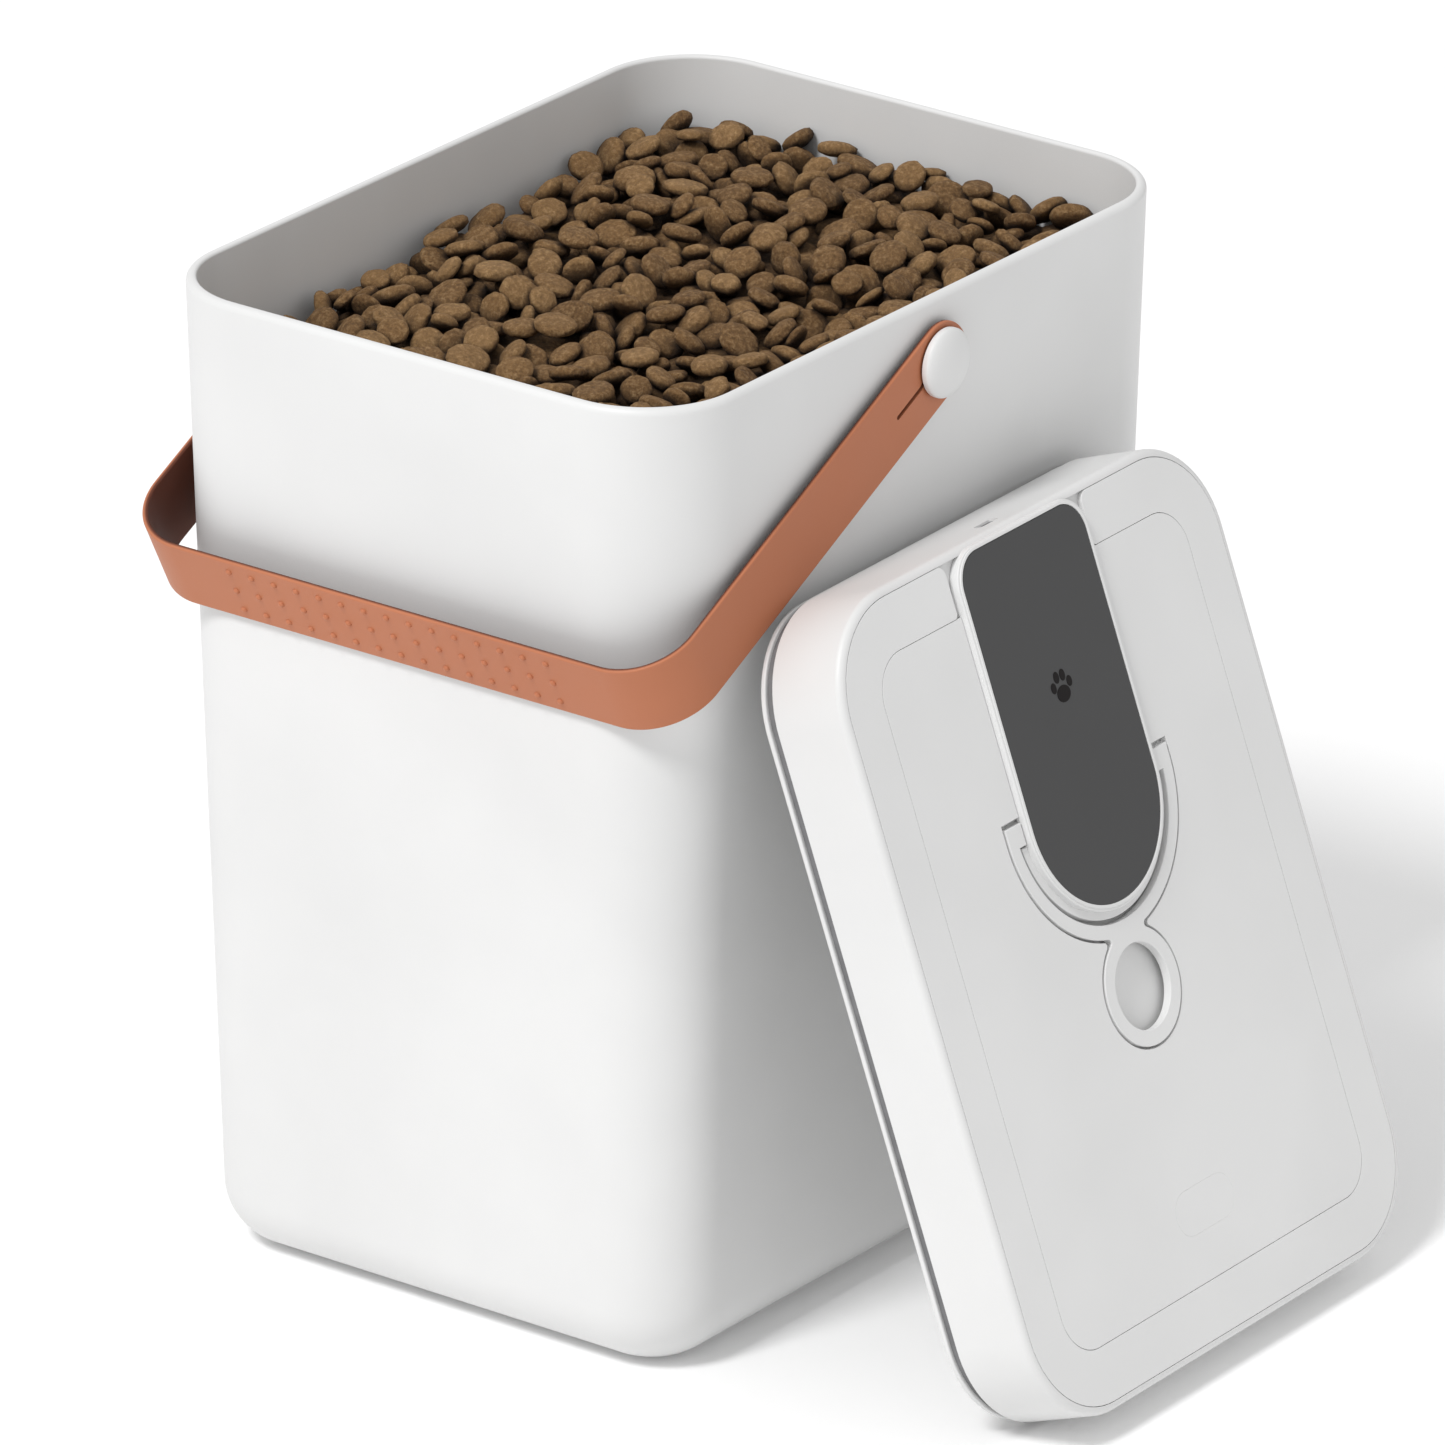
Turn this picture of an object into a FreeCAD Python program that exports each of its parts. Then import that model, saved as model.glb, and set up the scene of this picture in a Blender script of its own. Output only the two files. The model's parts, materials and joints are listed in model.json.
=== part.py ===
"""Pet food bin with a carry strap and an electric vacuum lid that leans against it.

Frame: +Z up, millimetres, origin at the middle of the bin's foot on the floor.
+X is the long side that the lid leans on, -Y is the short side that the carry strap hangs over.
Lid pieces are drawn in the lid's own frame and share one Placement:
local X along the lid's width, local Y up the lid, local Z out of its top face, zero on that face.
"""
import FreeCAD, Part
import math
import os
import Sketcher
from FreeCAD import Placement, Rotation, Vector

doc = FreeCAD.newDocument("PetFoodBin")
nodes = []

# ---------------------------------------------------------------- driving dimensions
DIMENSIONS = {
    # bin
    "bin_width": 199.4, "bin_length": 266.2, "bin_corner": 33.5, "bin_tall": 320,
    "foot_width": 183.6, "foot_length": 244.8, "foot_corner": 25, "foot_round": 20,
    "bin_wall": 3.4, "haunch_wide": 12, "haunch_tall": 14, "rim_round": 1.6,
    "kibble_top": 295, "kibble_gap": 0.4,
    # carry strap and its pivots
    "pivot_z": 300, "strap_drop": 27, "strap_reach": 154.3, "strap_width": 25.2,
    "strap_half": 102.8, "strap_thick": 1.8, "strap_bend": 22,
    "slot_reach": 25.5, "slot_long": 22, "slot_wide": 1.5, "slot_corner": 0.7,
    "pin_radius": 3, "bush_radius": 5, "running_gap": 0.05, "pin_start": 97, "pin_end": 105.2,
    "cap_radius": 11, "cap_start": 103.05, "cap_rim": 1.5, "cap_dome": 3,
    "washer_radius": 8, "washer_start": 99.5, "washer_thick": 1.3,
    # lid place
    "lid_x": 173.9, "lid_y": -0.9, "lid_z": 132.8, "lid_lean": 19.85, "lid_yaw": 1.3,
    # lid shells
    "lid_width": 200.8, "lid_length": 261.4, "lid_corner": 33.3, "lid_skirt": 26.6,
    "lid_wall": 2.2, "lid_edge": 2.4, "deck_under": 3.2, "deck_recess": 1.6,
    "fit_gap": 0.2, "small_corner": 1, "fine_corner": 0.4,
    "band_inset": 2.6, "seam": 0.3, "panel_width": 162, "panel_length": 222, "panel_corner": 14,
    "channel_half": 36, "channel_long": 24, "landing_long": 20,
    "flange_inset": 1.25, "flange_top": 30.3, "flange_under": 32,
    "neck_inset": 3.4, "neck_top": 24.6, "neck_wall": 1.6, "gasket_inset": 2.3,
    "rib_inset": 6.6, "rib_deep": 1.6, "rib_wall": 2, "seal_inset": 4.6, "seal_deep": 1,
    # touch console
    "console_half": 34.4, "console_end": 41.5, "console_top": 129.4, "console_corner": 12,
    "console_high": 2.1, "collar_radius": 36.9, "collar_high": -0.6, "collar_top": 42.5,
    "plate_half": 32.3, "plate_top": 127.9, "plate_corner": 10.5, "plate_thick": 1,
    "plate_sunk": 0.15,
    "sensor_radius": 15, "sensor_thick": 0.5, "mark_y": 77,
    # pull ring and its tray
    "yoke_inner": 38.5, "yoke_outer": 43, "ring_y": -18.5, "ring_outer": 18.5, "ring_hole": 13.5,
    "ring_high": 0.3, "ring_under": 2.5, "tray_gap": 0.8, "tray_floor": 3.4, "tray_skin": 1.4,
    "hinge_y": 44, "hinge_z": -0.7, "hinge_pin": 0.6, "hinge_pin_start": 30,
    "notch_reach": 3, "notch_long": 10,
    "boss_low": 38.6, "boss_high": 45.6, "boss_inner": 34.9,
    "tray_width": 90, "tray_length": 88, "tray_middle": 4.5, "tray_corner": 4,
    # status window and charging port
    "window_width": 30, "window_length": 14, "window_corner": 6.7, "window_y": -89,
    "port_wide": 9, "port_tall": 3.2, "port_skin": 0.6, "port_deep": 7.4, "port_z": -9,
    "tube_radius": 2.5, "tube_hole": 1.6, "mark_radius": 6, "mark_thick": 0.15,
    # screws that hold the lid base
    "screw_radius": 1.25, "screw_head": 2.4, "screw_long": 12, "head_thick": 1,
    "boss_radius": 3.4, "screw_x": 82, "screw_y": 112,
    # vacuum pump, battery, valve
    "motor_radius": 10, "motor_start": 6, "motor_long": 38, "pump_y": -64, "pump_z": -18,
    "head_long": 24, "head_side": 22, "head_wall": 1.8, "throat_radius": 3,
    "shaft_radius": 1.15, "shaft_long": 22, "shaft_inside": 9, "bearing_deep": 10,
    "crank_radius": 5, "crank_offset": 1.2, "crank_wide": 4, "crank_start": 6,
    "cell_radius": 9.2, "cell_long": 65, "cell_start": -78, "cell_z": -16, "cradle_wall": 2,
    "valve_y": 22, "stem_radius": 3, "stem_under": 31.8, "stem_long": 23.8,
    "seat_radius": 8, "seat_top": 26, "valve_disc": 6.5, "valve_disc_thick": 1.4,
    "spring_radius": 5, "spring_wire": 0.5, "spring_turns": 6, "spring_long": 17.8, "spring_sides": 12,
    "board_width": 60, "board_length": 58, "board_y": 95, "board_top": 10.6, "board_thick": 1.6,
    "post_radius": 2.5, "post_inset": 4, "led_side": 5,
    "gauge_radius": 4, "gauge_tall": 3.6, "gauge_x": 18, "gauge_y": 80,
    "filter_radius": 6, "filter_hole": 2, "filter_tall": 18, "filter_x": 86,
}

dims = doc.addObject("Spreadsheet::Sheet", "Dims")
for row, (name, number) in enumerate(DIMENSIONS.items(), start=1):
    dims.set(f"A{row}", name)
    dims.set(f"B{row}", str(number))
    dims.setAlias(f"B{row}", name)
doc.recompute()


def size(name):
    """A driving dimension, read from the sheet."""
    return float(dims.get(name))


def formula(text):
    """An expression in which every driving dimension's name refers to the sheet."""
    words = []
    for word in text.replace("(", " ( ").replace(")", " ) ").split():
        words.append("Dims." + word if word in DIMENSIONS else word)
    return " ".join(words)


def bind(thing, **properties):
    """Tie properties of an object to expressions on the sheet."""
    for name, text in properties.items():
        thing.setExpression(name.replace("__", "."), formula(str(text)))
    return thing


def keep(thing, label, placement=None):
    """Name a finished sub-part and put it in its place."""
    thing.Label = label
    if placement is not None:
        thing.Placement = placement
    nodes.append(thing)
    return thing


def lid_place():
    """The leaning lid's frame: tilted back about Y, turned a little about Z."""
    upright = Rotation(Vector(0, 1, 0), Vector(0, 0, 1), Vector(1, 0, 0), "XYZ")
    lean = Rotation(Vector(0, 1, 0), -size("lid_lean"))
    yaw = Rotation(Vector(0, 0, 1), size("lid_yaw"))
    return Placement(Vector(size("lid_x"), size("lid_y"), size("lid_z")), yaw * lean * upright)


LID = lid_place()

# ---------------------------------------------------------------- sketch and feature helpers


def new_body(label, placement=None):
    body = doc.addObject("PartDesign::Body", label)
    return keep(body, label, placement)


def sketch_on(body, role, height="0", side="0", up="0"):
    """A sketch on one of the body's own planes, moved by bound offsets."""
    plane = next(f for f in body.Origin.OriginFeatures if f.Role == role)
    sketch = body.newObject("Sketcher::SketchObject", body.Name + "Sketch")
    sketch.AttachmentSupport = [(plane, "")]
    sketch.MapMode = "FlatFace"
    bind(sketch, AttachmentOffset__Base__x=side, AttachmentOffset__Base__y=up,
         AttachmentOffset__Base__z=height)
    return sketch


def value(sketch, text):
    """What a formula on the sheet comes to now."""
    return float(sketch.evalExpression(formula(str(text))))


def bound(sketch, kind, *where_and_formula):
    """Add a sketch constraint whose value is an expression on the sheet."""
    *where, text = where_and_formula
    index = sketch.addConstraint(Sketcher.Constraint(kind, *where, value(sketch, text)))
    sketch.setExpression(f"Constraints[{index}]", formula(str(text)))


def rounded_rectangle(sketch, width, length, corner):
    """A centred rectangle with equal round corners."""
    a, b, r = value(sketch, width) / 2, value(sketch, length) / 2, value(sketch, corner)
    centres = [(a - r, -b + r), (a - r, b - r), (-a + r, b - r), (-a + r, -b + r)]
    corners, sides = [], []
    for k, (x, y) in enumerate(centres):
        arc = Part.ArcOfCircle(Part.Circle(Vector(x, y), Vector(0, 0, 1), r),
                               math.radians(90 * k - 90), math.radians(90 * k))
        corners.append(sketch.addGeometry(arc))
    for k, (x, y) in enumerate(centres):
        turn = math.radians(90 * k)
        out = Vector(r * math.cos(turn), r * math.sin(turn))
        start, end = Vector(x, y) + out, Vector(*centres[(k + 1) % 4]) + out
        sides.append(sketch.addGeometry(Part.LineSegment(start, end)))
    for k in range(4):
        sketch.addConstraint(Sketcher.Constraint("Tangent", corners[k], 2, sides[k], 1))
        sketch.addConstraint(Sketcher.Constraint("Tangent", sides[k], 2, corners[(k + 1) % 4], 1))
    for k in (0, 2):
        sketch.addConstraint(Sketcher.Constraint("Vertical", sides[k]))
        sketch.addConstraint(Sketcher.Constraint("Horizontal", sides[k + 1]))
    for k in (1, 2, 3):
        sketch.addConstraint(Sketcher.Constraint("Equal", corners[0], corners[k]))
    sketch.addConstraint(Sketcher.Constraint("Symmetric", corners[0], 3, corners[2], 3, -1, 1))
    bound(sketch, "DistanceX", sides[2], 1, sides[0], 1, width)
    bound(sketch, "DistanceY", sides[3], 1, sides[1], 1, length)
    bound(sketch, "Radius", corners[0], corner)
    return sketch


def circle(sketch, radius, x="0", y="0"):
    """A circle centred on a bound point."""
    ring = sketch.addGeometry(Part.Circle(Vector(value(sketch, x), value(sketch, y)),
                                          Vector(0, 0, 1), value(sketch, radius)))
    bound(sketch, "Radius", ring, radius)
    bound(sketch, "DistanceX", -1, 1, ring, 3, x)
    bound(sketch, "DistanceY", -1, 1, ring, 3, y)
    return sketch


def pad(body, sketch, length, middle=False):
    feature = body.newObject("PartDesign::Pad", body.Name + "Pad")
    feature.Profile = sketch
    feature.Midplane = middle
    sketch.Visibility = False
    return bind(feature, Length=length)


def pocket(body, sketch, depth, upward=False):
    """Cut along the sketch's normal, downward unless told to go upward."""
    feature = body.newObject("PartDesign::Pocket", body.Name + "Pocket")
    feature.Profile = sketch
    feature.Reversed = upward
    return bind(feature, Length=depth)


def drill(body, sketch):
    """Cut a sketch right through the body, both ways."""
    feature = body.newObject("PartDesign::Pocket", body.Name + "Drill")
    feature.Profile = sketch
    feature.Type = "ThroughAll"
    feature.Midplane = True
    return feature


def fillet(body, feature, radius, chosen):
    """Round the edges of a feature that the test `chosen` picks."""
    doc.recompute()
    names = [f"Edge{k}" for k, edge in enumerate(feature.Shape.Edges, start=1) if chosen(edge)]
    rounding = body.newObject("PartDesign::Fillet", body.Name + "Fillet")
    rounding.Base = (feature, names)
    return bind(rounding, Radius=radius)


def at_height(height):
    """A test for edges that lie wholly in one level plane of a body."""
    return lambda edge: (abs(edge.BoundBox.ZMin - height) < 1e-4
                         and abs(edge.BoundBox.ZMax - height) < 1e-4)


def slab(label, width, length, corner, under, thick, place=LID):
    """A round-cornered plate in its own body."""
    body = new_body(label, place)
    outline = rounded_rectangle(sketch_on(body, "XY_Plane", under), width, length, corner)
    pad(body, outline, thick)
    return body


def box(name, width, length, tall, x, y, z):
    """A block centred on x and y that stands on z."""
    block = doc.addObject("Part::Box", name)
    bind(block, Length=width, Width=length, Height=tall)
    bind(block, Placement__Base__x=f"{x} - ( {width} ) / 2",
         Placement__Base__y=f"{y} - ( {length} ) / 2", Placement__Base__z=z)
    return block


HERE = Placement()
ALONG = {"x": Rotation(Vector(0, 1, 0), 90), "y": Rotation(Vector(1, 0, 0), -90), "z": Rotation()}


def rod(name, radius, length, x, y, z, along="z"):
    """A cylinder that starts at a point and runs along one axis."""
    cylinder = doc.addObject("Part::Cylinder", name)
    cylinder.Placement = Placement(Vector(), ALONG[along])
    bind(cylinder, Radius=radius, Height=length)
    bind(cylinder, Placement__Base__x=x, Placement__Base__y=y, Placement__Base__z=z)
    return cylinder


def fuse(name, shapes):
    union = doc.addObject("Part::MultiFuse", name)
    union.Shapes = shapes
    union.Refine = True
    return union


def cut(name, base, tool):
    difference = doc.addObject("Part::Cut", name)
    difference.Base = base
    difference.Tool = tool
    difference.Refine = True
    return difference


def group(label, shapes, place):
    """Identical loose pieces kept as separate solids of one node."""
    compound = doc.addObject("Part::Compound", label + "Group")
    compound.Links = shapes
    return keep(compound, label, place)


def lid_piece(shape, label):
    """A piece made from primitives, put in the lid's place."""
    shape.Label = label + " shape"
    group(label, [shape], LID)


def tube(name, outer, inner, length, x, y, z, along="z"):
    return cut(name, rod(name + "Outer", outer, length, x, y, z, along),
               rod(name + "Inner", inner, length, x, y, z, along))


# ---------------------------------------------------------------- bin


def level(name, height, inset="0"):
    """The tapered bin's outline at a height, drawn in from its outer face."""
    sketch = doc.addObject("Sketcher::SketchObject", name)
    bind(sketch, Placement__Base__z=height)
    share = f"* ( {height} ) / bin_tall"
    return rounded_rectangle(
        sketch,
        f"foot_width + ( bin_width - foot_width ) {share} - 2 * ( {inset} )",
        f"foot_length + ( bin_length - foot_length ) {share} - 2 * ( {inset} )",
        f"foot_corner + ( bin_corner - foot_corner ) {share} - ( {inset} )")


def tapered(name, *levels):
    """A solid lofted straight through level outlines."""
    block = doc.addObject("Part::Loft", name)
    block.Sections = list(levels)
    block.Solid = True
    block.Ruled = True
    return block


def rounded(name, base, radius, chosen):
    """Round the edges of a solid that the test `chosen` picks."""
    doc.recompute()
    rounding = doc.addObject("Part::Fillet", name)
    rounding.Base = base
    rounding.Edges = [(k, size(radius), size(radius))
                      for k, edge in enumerate(base.Shape.Edges, start=1) if chosen(edge)]
    return rounding


def both_sides(name, radius, start, length):
    """The same cylinder along X on the right and, mirrored, on the left of the bin."""
    right = rod(name + "Right", radius, length, start, "0", "pivot_z", "x")
    left = rod(name + "Left", radius, length, f"-1 * ( {start} ) - ( {length} )",
               "0", "pivot_z", "x")
    return [right, left]


def make_bin_shell():
    """Tapered food bin: lofted walls, a big round along the foot, a rounded rim."""
    walls = tapered("BinWalls", level("BinFoot", "0"), level("BinRim", "bin_tall"))
    footed = rounded("BinFooted", walls, "foot_round", at_height(0))
    haunch = "bin_wall + haunch_tall"
    hollow = tapered("BinHollow", level("FloorLine", "bin_wall", "bin_wall + haunch_wide"),
                     level("HaunchLine", haunch, "bin_wall"),
                     level("MouthLine", "bin_tall + haunch_tall", "bin_wall"))
    open_bin = cut("BinOpen", footed, hollow)
    soft_rim = rounded("BinSoftRim", open_bin, "rim_round", at_height(size("bin_tall")))
    bores = fuse("PivotBores", both_sides("Bore", "pin_radius", "pin_start", "bin_width / 2"))
    keep(cut("bin_shell", soft_rim, bores), "bin_shell")


def make_kibble():
    """The food that fills the bin, as one plain solid."""
    side = "bin_wall + kibble_gap"
    haunch = "bin_wall + haunch_tall"
    keep(tapered("kibble_fill", level("KibbleFoot", side, side + " + haunch_wide"),
                 level("KibbleHaunch", haunch, side), level("KibbleTop", "kibble_top", side)),
         "kibble_fill")


def collars(label, radius, hole, start, length):
    """A pair of round pieces, each with a centre hole, on the two pivots."""
    discs = both_sides(label + "Disc", radius, start, length)
    holes = both_sides(label + "Hole", hole, start, length)
    return [cut(f"{label}Ring{k}", disc, hole_) for k, (disc, hole_) in enumerate(zip(discs, holes))]


def make_pivot_hardware():
    """Pins pressed into blind holes in the walls, each with a washer and a round cap."""
    group("pivot_pins", both_sides("Pin", "pin_radius", "pin_start", "pin_end - pin_start"), HERE)
    group("pivot_washers", collars("Washer", "washer_radius", "pin_radius", "washer_start",
                                   "washer_thick"), HERE)
    caps = []
    discs = both_sides("Cap", "cap_radius", "cap_start", "cap_rim + cap_dome")
    seats = both_sides("CapSeat", "pin_radius", "cap_start", "pin_end - cap_start")
    for disc, seat, outward in zip(discs, seats, (1, -1)):
        doc.recompute()
        edges = disc.Shape.Edges
        rim = max(range(len(edges)), key=lambda k: outward * edges[k].CenterOfMass.x)
        dome = doc.addObject("Part::Fillet", disc.Name + "Dome")
        dome.Base = disc
        dome.Edges = [(rim + 1, size("cap_dome"), size("cap_dome"))]
        caps.append(cut(disc.Name + "Bored", dome, seat))
    group("pivot_caps", caps, HERE)


# ---------------------------------------------------------------- carry strap


STRAP = Placement(Vector(0, 0, size("pivot_z")), Rotation(Vector(1, 0, 0), 180 + size("strap_drop")))


def strap_outline(sketch):
    """The strap's U seen from above: two arms, two round bends and the grip."""
    half, reach, bend, thick = (size(n) for n in
                                ("strap_half", "strap_reach", "strap_bend", "strap_thick"))
    up = Vector(0, 0, 1)

    def side_of(inset):
        """The U at one face: right arm, right bend, grip, left bend, left arm."""
        radius, x, y = bend - inset, half - inset, reach - inset
        bends = [Part.Circle(Vector(sign * (half - bend), reach - bend), up, radius)
                 for sign in (1, -1)]
        return [
            sketch.addGeometry(Part.LineSegment(Vector(x, 0), Vector(x, reach - bend))),
            sketch.addGeometry(Part.ArcOfCircle(bends[0], 0, math.pi / 2)),
            sketch.addGeometry(Part.LineSegment(Vector(half - bend, y), Vector(bend - half, y))),
            sketch.addGeometry(Part.ArcOfCircle(bends[1], math.pi / 2, math.pi)),
            sketch.addGeometry(Part.LineSegment(Vector(-x, reach - bend), Vector(-x, 0))),
        ]

    outer, inner = side_of(0), side_of(thick)
    for face in (outer, inner):
        arm, bend_1, grip, bend_2, far_arm = face
        sketch.addConstraint(Sketcher.Constraint("Tangent", arm, 2, bend_1, 1))
        sketch.addConstraint(Sketcher.Constraint("Tangent", bend_1, 2, grip, 1))
        sketch.addConstraint(Sketcher.Constraint("Tangent", grip, 2, bend_2, 1))
        sketch.addConstraint(Sketcher.Constraint("Tangent", bend_2, 2, far_arm, 1))
        sketch.addConstraint(Sketcher.Constraint("Vertical", arm))
        sketch.addConstraint(Sketcher.Constraint("Horizontal", grip))
        sketch.addConstraint(Sketcher.Constraint("Vertical", far_arm))
        sketch.addConstraint(Sketcher.Constraint("Equal", bend_1, bend_2))
        sketch.addConstraint(Sketcher.Constraint("Symmetric", arm, 1, far_arm, 2, -2))
        sketch.addConstraint(Sketcher.Constraint("PointOnObject", arm, 1, -1))
    for arm in (0, 4):
        first, second = ((outer[arm], 1), (inner[arm], 1)) if arm == 0 else (
            (outer[arm], 2), (inner[arm], 2))
        end = sketch.addGeometry(Part.LineSegment(
            sketch.getPoint(*first), sketch.getPoint(*second)))
        sketch.addConstraint(Sketcher.Constraint("Coincident", end, 1, *first))
        sketch.addConstraint(Sketcher.Constraint("Coincident", end, 2, *second))
    for face, inset in ((outer, ""), (inner, " - strap_thick")):
        bound(sketch, "DistanceX", -1, 1, face[0], 1, "strap_half" + inset)
        bound(sketch, "DistanceY", -1, 1, face[2], 1, "strap_reach" + inset)
        bound(sketch, "Radius", face[1], "strap_bend" + inset)
    return sketch


def make_strap():
    """The carry strap, with round ends on its pivots and a relief slot beside each."""
    body = new_body("handle_strap", STRAP)
    pad(body, strap_outline(sketch_on(body, "XY_Plane")), "strap_width", middle=True)
    for start in ("strap_half - strap_thick", "-1 * strap_half"):
        end = circle(sketch_on(body, "YZ_Plane", start), "strap_width / 2")
        pad(body, end, "strap_thick")
    drill(body, circle(sketch_on(body, "YZ_Plane"), "bush_radius"))
    slot = rounded_rectangle(sketch_on(body, "YZ_Plane", "0", "slot_reach - slot_long / 2"),
                             "slot_long", "slot_wide", "slot_corner")
    drill(body, slot)


def make_bushes():
    """Sleeves in the strap's ends that turn on the pins."""
    group("strap_bushes", collars("Bush", "bush_radius", "pin_radius + running_gap",
                                  "strap_half - strap_thick", "strap_thick"), HERE)


# ---------------------------------------------------------------- lid shells


def make_lid_shell():
    """The lid's cover: skirt, top deck, edge band and screw bosses."""
    body = slab("lid_shell", "lid_width", "lid_length", "lid_corner",
                "-1 * lid_skirt", "lid_skirt")
    fillet(body, body.Tip, "lid_edge", at_height(0))
    under = rounded_rectangle(sketch_on(body, "XY_Plane", "-1 * lid_skirt"),
                              "lid_width - 2 * lid_wall", "lid_length - 2 * lid_wall",
                              "lid_corner - lid_wall")
    pocket(body, under, "lid_skirt - deck_under", upward=True)
    recess = rounded_rectangle(sketch_on(body, "XY_Plane", "0"),
                               "lid_width - 2 * band_inset", "lid_length - 2 * band_inset",
                               "lid_corner - band_inset")
    pocket(body, recess, "deck_recess")
    landing = rounded_rectangle(
        sketch_on(body, "XY_Plane", "0", "0", "console_top - landing_long / 2"),
        "2 * channel_half", "landing_long + seam", "small_corner")
    pocket(body, landing, "deck_recess")
    for x in ("-1 * screw_x", "screw_x"):
        for y in ("-1 * screw_y", "0", "screw_y"):
            boss = circle(sketch_on(body, "XY_Plane", "-1 * flange_top"), "boss_radius", x, y)
            pad(body, boss, "flange_top - deck_under")
            hole = circle(sketch_on(body, "XY_Plane", "-1 * flange_top"), "screw_radius", x, y)
            pocket(body, hole, "screw_long", upward=True)
    for side in ("-1", "1"):
        for end in ("-1", "1"):
            post = circle(sketch_on(body, "XY_Plane", "-1 * board_top"), "post_radius",
                          f"{side} * ( board_width / 2 - post_inset )",
                          f"board_y + {end} * ( board_length / 2 - post_inset )")
            pad(body, post, "board_top - deck_under")
    light = rounded_rectangle(sketch_on(body, "XY_Plane", "-1 * deck_under", "0", "window_y"),
                              "led_side + 2 * seam", "led_side + 2 * seam", "seam")
    pocket(body, light, "deck_under", upward=True)
    opening = rounded_rectangle(
        sketch_on(body, "XY_Plane", "-1 * deck_under", "0", "tray_middle"),
        "tray_width + 2 * seam", "tray_length + 2 * seam", "tray_corner")
    pocket(body, opening, "deck_under", upward=True)
    port = rounded_rectangle(sketch_on(body, "XZ_Plane", "-1 * lid_length / 2", "0", "port_z"),
                             "port_wide + 2 * seam", "port_tall + 2 * seam", "seam")
    pocket(body, port, "2 * lid_wall", upward=True)


def tongue(sketch, half, end, top, corner):
    """A strip with one half-round end and two rounded corners, drawn up the lid."""
    a, low, high, r = (value(sketch, text) for text in (half, end, top, corner))
    up = Vector(0, 0, 1)
    base = sketch.addGeometry(Part.ArcOfCircle(
        Part.Circle(Vector(0, low), up, a), math.pi, 2 * math.pi))
    right = sketch.addGeometry(Part.LineSegment(Vector(a, low), Vector(a, high - r)))
    corner_1 = sketch.addGeometry(Part.ArcOfCircle(
        Part.Circle(Vector(a - r, high - r), up, r), 0, math.pi / 2))
    head = sketch.addGeometry(Part.LineSegment(Vector(a - r, high), Vector(r - a, high)))
    corner_2 = sketch.addGeometry(Part.ArcOfCircle(
        Part.Circle(Vector(r - a, high - r), up, r), math.pi / 2, math.pi))
    left = sketch.addGeometry(Part.LineSegment(Vector(-a, high - r), Vector(-a, low)))
    chain = [base, right, corner_1, head, corner_2, left]
    for first, second in zip(chain, chain[1:] + chain[:1]):
        sketch.addConstraint(Sketcher.Constraint("Tangent", first, 2, second, 1))
    sketch.addConstraint(Sketcher.Constraint("Vertical", right))
    sketch.addConstraint(Sketcher.Constraint("Horizontal", head))
    sketch.addConstraint(Sketcher.Constraint("Vertical", left))
    sketch.addConstraint(Sketcher.Constraint("Equal", corner_1, corner_2))
    sketch.addConstraint(Sketcher.Constraint("PointOnObject", base, 3, -2))
    bound(sketch, "Radius", base, half)
    bound(sketch, "Radius", corner_1, corner)
    bound(sketch, "DistanceY", -1, 1, base, 3, end)
    bound(sketch, "DistanceY", -1, 1, head, 1, top)
    return sketch


def make_lid_frame():
    """The flush band between the lid's two seams, open where the console crosses it."""
    body = slab("lid_top_frame", "lid_width - 2 * band_inset - 2 * seam",
                "lid_length - 2 * band_inset - 2 * seam", "lid_corner - band_inset - seam",
                "-1 * deck_recess", "deck_recess")
    middle = rounded_rectangle(sketch_on(body, "XY_Plane"), "panel_width", "panel_length",
                               "panel_corner")
    pocket(body, middle, "deck_recess")
    channel = rounded_rectangle(
        sketch_on(body, "XY_Plane", "0", "0", "( panel_length + channel_long ) / 2 - lid_edge"),
        "2 * channel_half", "channel_long", "small_corner")
    pocket(body, channel, "deck_recess")


def sink_ring_well(body, top, depth):
    """Cut the pull ring's well: a U around the console and a round below it."""
    yoke = tongue(sketch_on(body, "XY_Plane", top), "yoke_outer + tray_gap", "console_end",
                  "boss_high + 2 * tray_gap", "small_corner")
    pocket(body, yoke, depth)
    ring = circle(sketch_on(body, "XY_Plane", top), "ring_outer + tray_gap", "0", "ring_y")
    pocket(body, ring, depth)


def make_lid_panel():
    """The flush middle panel, cut out for the console, the pull ring and the window."""
    body = slab("lid_top_panel", "panel_width - 2 * seam", "panel_length - 2 * seam",
                "panel_corner - seam", "-1 * deck_recess", "deck_recess")
    slot = tongue(sketch_on(body, "XY_Plane"), "console_half + fit_gap", "console_end",
                  "console_top + seam", "small_corner")
    pocket(body, slot, "deck_recess")
    window = rounded_rectangle(sketch_on(body, "XY_Plane", "0", "0", "window_y"),
                               "window_width + 2 * seam", "window_length + 2 * seam",
                               "window_corner + seam")
    pocket(body, window, "deck_recess")
    sink_ring_well(body, "0", "deck_recess")


def make_ring_tray():
    """The tray under the panel that the pull ring lies in."""
    body = new_body("ring_tray", LID)
    plate = rounded_rectangle(
        sketch_on(body, "XY_Plane", "-1 * tray_floor - tray_skin", "0", "tray_middle"),
        "tray_width", "tray_length", "tray_corner")
    pad(body, plate, "tray_floor + tray_skin - deck_recess")
    sink_ring_well(body, "-1 * deck_recess", "tray_floor - deck_recess")


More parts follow.
